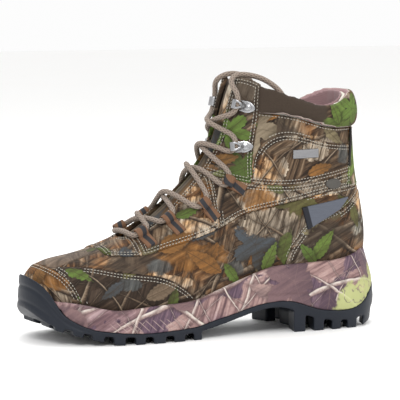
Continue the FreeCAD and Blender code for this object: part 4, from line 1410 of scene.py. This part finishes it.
def sharp_rim(made):
    """The showing edge of a closed panel as chains of points, with the direction into the panel."""
    mesh = made.data
    faces = [tuple(f.vertices) for f in mesh.polygons]
    normals = np.array([tuple(f.normal) for f in mesh.polygons])
    middles = np.array([tuple(f.center) for f in mesh.polygons])
    away = middles - core_of(middles)
    away /= np.maximum(np.linalg.norm(away, axis=1), 1e-9)[:, None]
    shows = (normals * away).sum(axis=1) > 0.45
    owners = {}
    for number, face in enumerate(faces):
        for a, b in zip(face, face[1:] + face[:1]):
            owners.setdefault((min(a, b), max(a, b)), []).append(number)
    co = points_of(made)
    links = {}
    inward = {}
    for (a, b), pair in owners.items():
        if len(pair) != 2 or shows[pair[0]] == shows[pair[1]]:
            continue
        if normals[pair[0]].dot(normals[pair[1]]) > SHARP_RIM:
            continue
        face = pair[0] if shows[pair[0]] else pair[1]
        links.setdefault(a, []).append(b)
        links.setdefault(b, []).append(a)
        run = co[b] - co[a]
        into = np.cross(normals[face], run)
        into /= max(np.linalg.norm(into), 1e-12)
        if into.dot(middles[face] - (co[a] + co[b]) / 2.0) < 0:
            into = -into
        for end in (a, b):
            inward[end] = inward.get(end, 0.0) + into * np.linalg.norm(run)
    chains, seen = [], set()
    starts = [v for v in links if len(links[v]) != 2] + list(links)
    for start in starts:
        for first in links[start]:
            if (start, first) in seen:
                continue
            chain, before, here = [start], start, first
            seen.update(((start, first), (first, start)))
            while True:
                chain.append(here)
                onward = [v for v in links[here] if (here, v) not in seen]
                if len(links[here]) != 2 or not onward:
                    break
                before, here = here, onward[0]
                seen.update(((before, here), (here, before)))
            if len(chain) > 2:
                chains.append((co[chain], np.array([inward[v] for v in chain])))
    return chains


def spaced(points, extra, step):
    """Points an equal step apart along a chain, and the values that go with them."""
    runs = np.linalg.norm(np.diff(points, axis=0), axis=1)
    at = np.concatenate([[0.0], np.cumsum(runs)])
    if at[-1] < 3.0 * step:
        return None, None
    places = np.linspace(0.0, at[-1], int(at[-1] / step) + 1)
    line = np.stack([np.interp(places, at, points[:, k]) for k in range(3)], axis=1)
    other = np.stack([np.interp(places, at, extra[:, k]) for k in range(3)], axis=1)
    return line, other


def eased(values, times):
    for _ in range(times):
        values = np.concatenate([values[:1], (values[:-2] + 2.0 * values[1:-1] + values[2:]) / 4.0,
                                 values[-1:]])
    return values


def surface_of(*pieces):
    """One search tree over the faces of some pieces."""
    vertices, faces = [], []
    for piece in pieces:
        start = len(vertices)
        vertices += [tuple(p) for p in points_of(piece)]
        faces += [tuple(start + i for i in f.vertices) for f in piece.data.polygons]
    return BVHTree.FromPolygons(vertices, faces)


print("rim finder ready")

# %% Sew the rows
PITCH = 0.0026
STITCH_LENGTH = 0.0018
THREAD_RADIUS = 0.00036
RIM_STEP = 0.0006       # how finely a rim is followed
COVER_GAP = 0.0022      # a stitch nearer to the sole than this is hidden
PANEL_REACH = 0.0025    # a stitch further from its panel than this has nothing to hold
ROWS = ((0.0016, "light"), (0.0029, "dark"), (0.0040, "light"))
COVERED = surface_of(midsole, outsole)
STITCHES = {"light": [], "dark": []}


def covered(place):
    """Whether the sole hides this place."""
    _, _, _, gap = COVERED.find_nearest(Vector(place))
    return gap < COVER_GAP


def sew(name, rows=ROWS, keep=None):
    """Rows of stitches along a panel's rim. keep says which places of the rim are sewn."""
    plain = merged_copy("rim_" + name, name)
    chains = sharp_rim(plain)
    bpy.data.objects.remove(plain)
    panel = SOFT[name]
    tree = surface_of(panel)
    count = 0
    for points, into in chains:
        line, inward = spaced(points, into, RIM_STEP)
        if line is None:
            continue
        line, inward = eased(line, 12), eased(inward, 30)
        inward /= np.maximum(np.linalg.norm(inward, axis=1), 1e-9)[:, None]
        for offset, thread in rows:
            moved, _ = spaced(eased(line + inward * offset, 6), inward, PITCH)
            if moved is None:
                continue
            along = np.gradient(moved, axis=0)
            for place, run in zip(moved, along):
                size = np.linalg.norm(run)
                if size < 0.4 * PITCH or (keep and not keep(*place)) or covered(place):
                    continue
                hit, normal, _, gap = tree.find_nearest(Vector(place))
                if hit is None or gap > PANEL_REACH:
                    continue
                out = np.array(normal)
                run = run / size
                run = run - out * run.dot(out)
                run /= np.linalg.norm(run)
                STITCHES[thread].append((np.array(hit), run, out))
                count += 1
    print(name, "chains", len(chains), "stitches", count)


sew("toe_cap", keep=lambda x, y, z: x > -0.140)
sew("heel_overlay")
for side in ("lateral", "medial"):
    sew("lower_vamp_" + side, keep=lambda x, y, z: z > 0.018 and abs(y) > 0.010)
    sew("facing_" + side)
    sew("ankle_band_" + side)
    sew("upper_facing_" + side)
    sew("ankle_panel_" + side)
    sew("collar_band_" + side, rows=ROWS[:1], keep=lambda x, y, z: z > 0.155)
    sew("quarter_" + side, rows=ROWS[:1], keep=lambda x, y, z: x > 0.06 and z > 0.06)
sew("throat_panel", keep=lambda x, y, z: abs(y) > 0.004)
sew("backstay", rows=ROWS[:1])
print("stitches", {k: len(v) for k, v in STITCHES.items()})

# %% Copy the stitch


def capsule():
    """One stitch along X: a ball stretched to its length, flattened where it lies on the cloth."""
    bpy.ops.object.select_all(action="DESELECT")
    bpy.ops.mesh.primitive_uv_sphere_add(segments=6, ring_count=4, radius=THREAD_RADIUS)
    ball = bpy.context.object
    bpy.ops.object.mode_set(mode="EDIT")
    bpy.ops.mesh.select_all(action="SELECT")
    bpy.ops.transform.rotate(value=math.pi / 2.0, orient_axis="Y", center_override=(0.0, 0.0, 0.0))
    bpy.ops.object.mode_set(mode="OBJECT")
    co = points_of(ball)
    co[:, 0] += np.sign(co[:, 0]) * (STITCH_LENGTH / 2.0 - THREAD_RADIUS) * (np.abs(co[:, 0]) > 1e-6)
    faces = [tuple(f.vertices) for f in ball.data.polygons]
    bpy.data.objects.remove(ball)
    return co, faces


shape, shape_faces = capsule()
for thread, material in (("light", LIGHT_THREAD), ("dark", DARK_THREAD)):
    places = STITCHES[thread]
    base = np.array([p for p, _, _ in places])
    run = np.array([r for _, r, _ in places])
    out = np.array([o for _, _, o in places])
    cross = np.cross(out, run)
    arc = 1.0 - (shape[:, 0] / (STITCH_LENGTH / 2.0)) ** 2
    high = shape[:, 2] * 0.9 + arc * 0.00022 - 0.00006
    vertices = (base[:, None, :] + shape[None, :, 0, None] * run[:, None, :]
                + shape[None, :, 1, None] * cross[:, None, :]
                + high[None, :, None] * out[:, None, :]).reshape(-1, 3)
    step = len(shape)
    faces = [tuple(k * step + i for i in f) for k in range(len(places)) for f in shape_faces]
    sewn = new_object("stitches_" + thread, vertices, faces)
    only(sewn)
    bpy.ops.object.shade_smooth()
    wear(sewn, material)
    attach(sewn, "boot")
    print("thread", thread, "faces", len(sewn.data.polygons))

# %% [markdown]
# ## Floor
# The floor is part of the studio, not of the boot. It is large, matt and nearly white, with the
# faintest warm mottle, so that its far edge melts into the white surrounding.

# %% A pale floor


def pale_floor():
    shader = Shader("pale_floor")
    where = shader.place()
    mottle = shader.noise(where, 3.0, 2.0)
    return shader.finish(shader.mix(mottle, (0.955, 0.950, 0.938), (0.965, 0.962, 0.955)), 0.65)


bpy.ops.object.select_all(action="DESELECT")
bpy.ops.mesh.primitive_grid_add(x_subdivisions=8, y_subdivisions=8, size=12.0)
floor = bpy.context.object
floor.name = "floor"
wear(floor, pale_floor())
print("floor faces", len(floor.data.polygons))
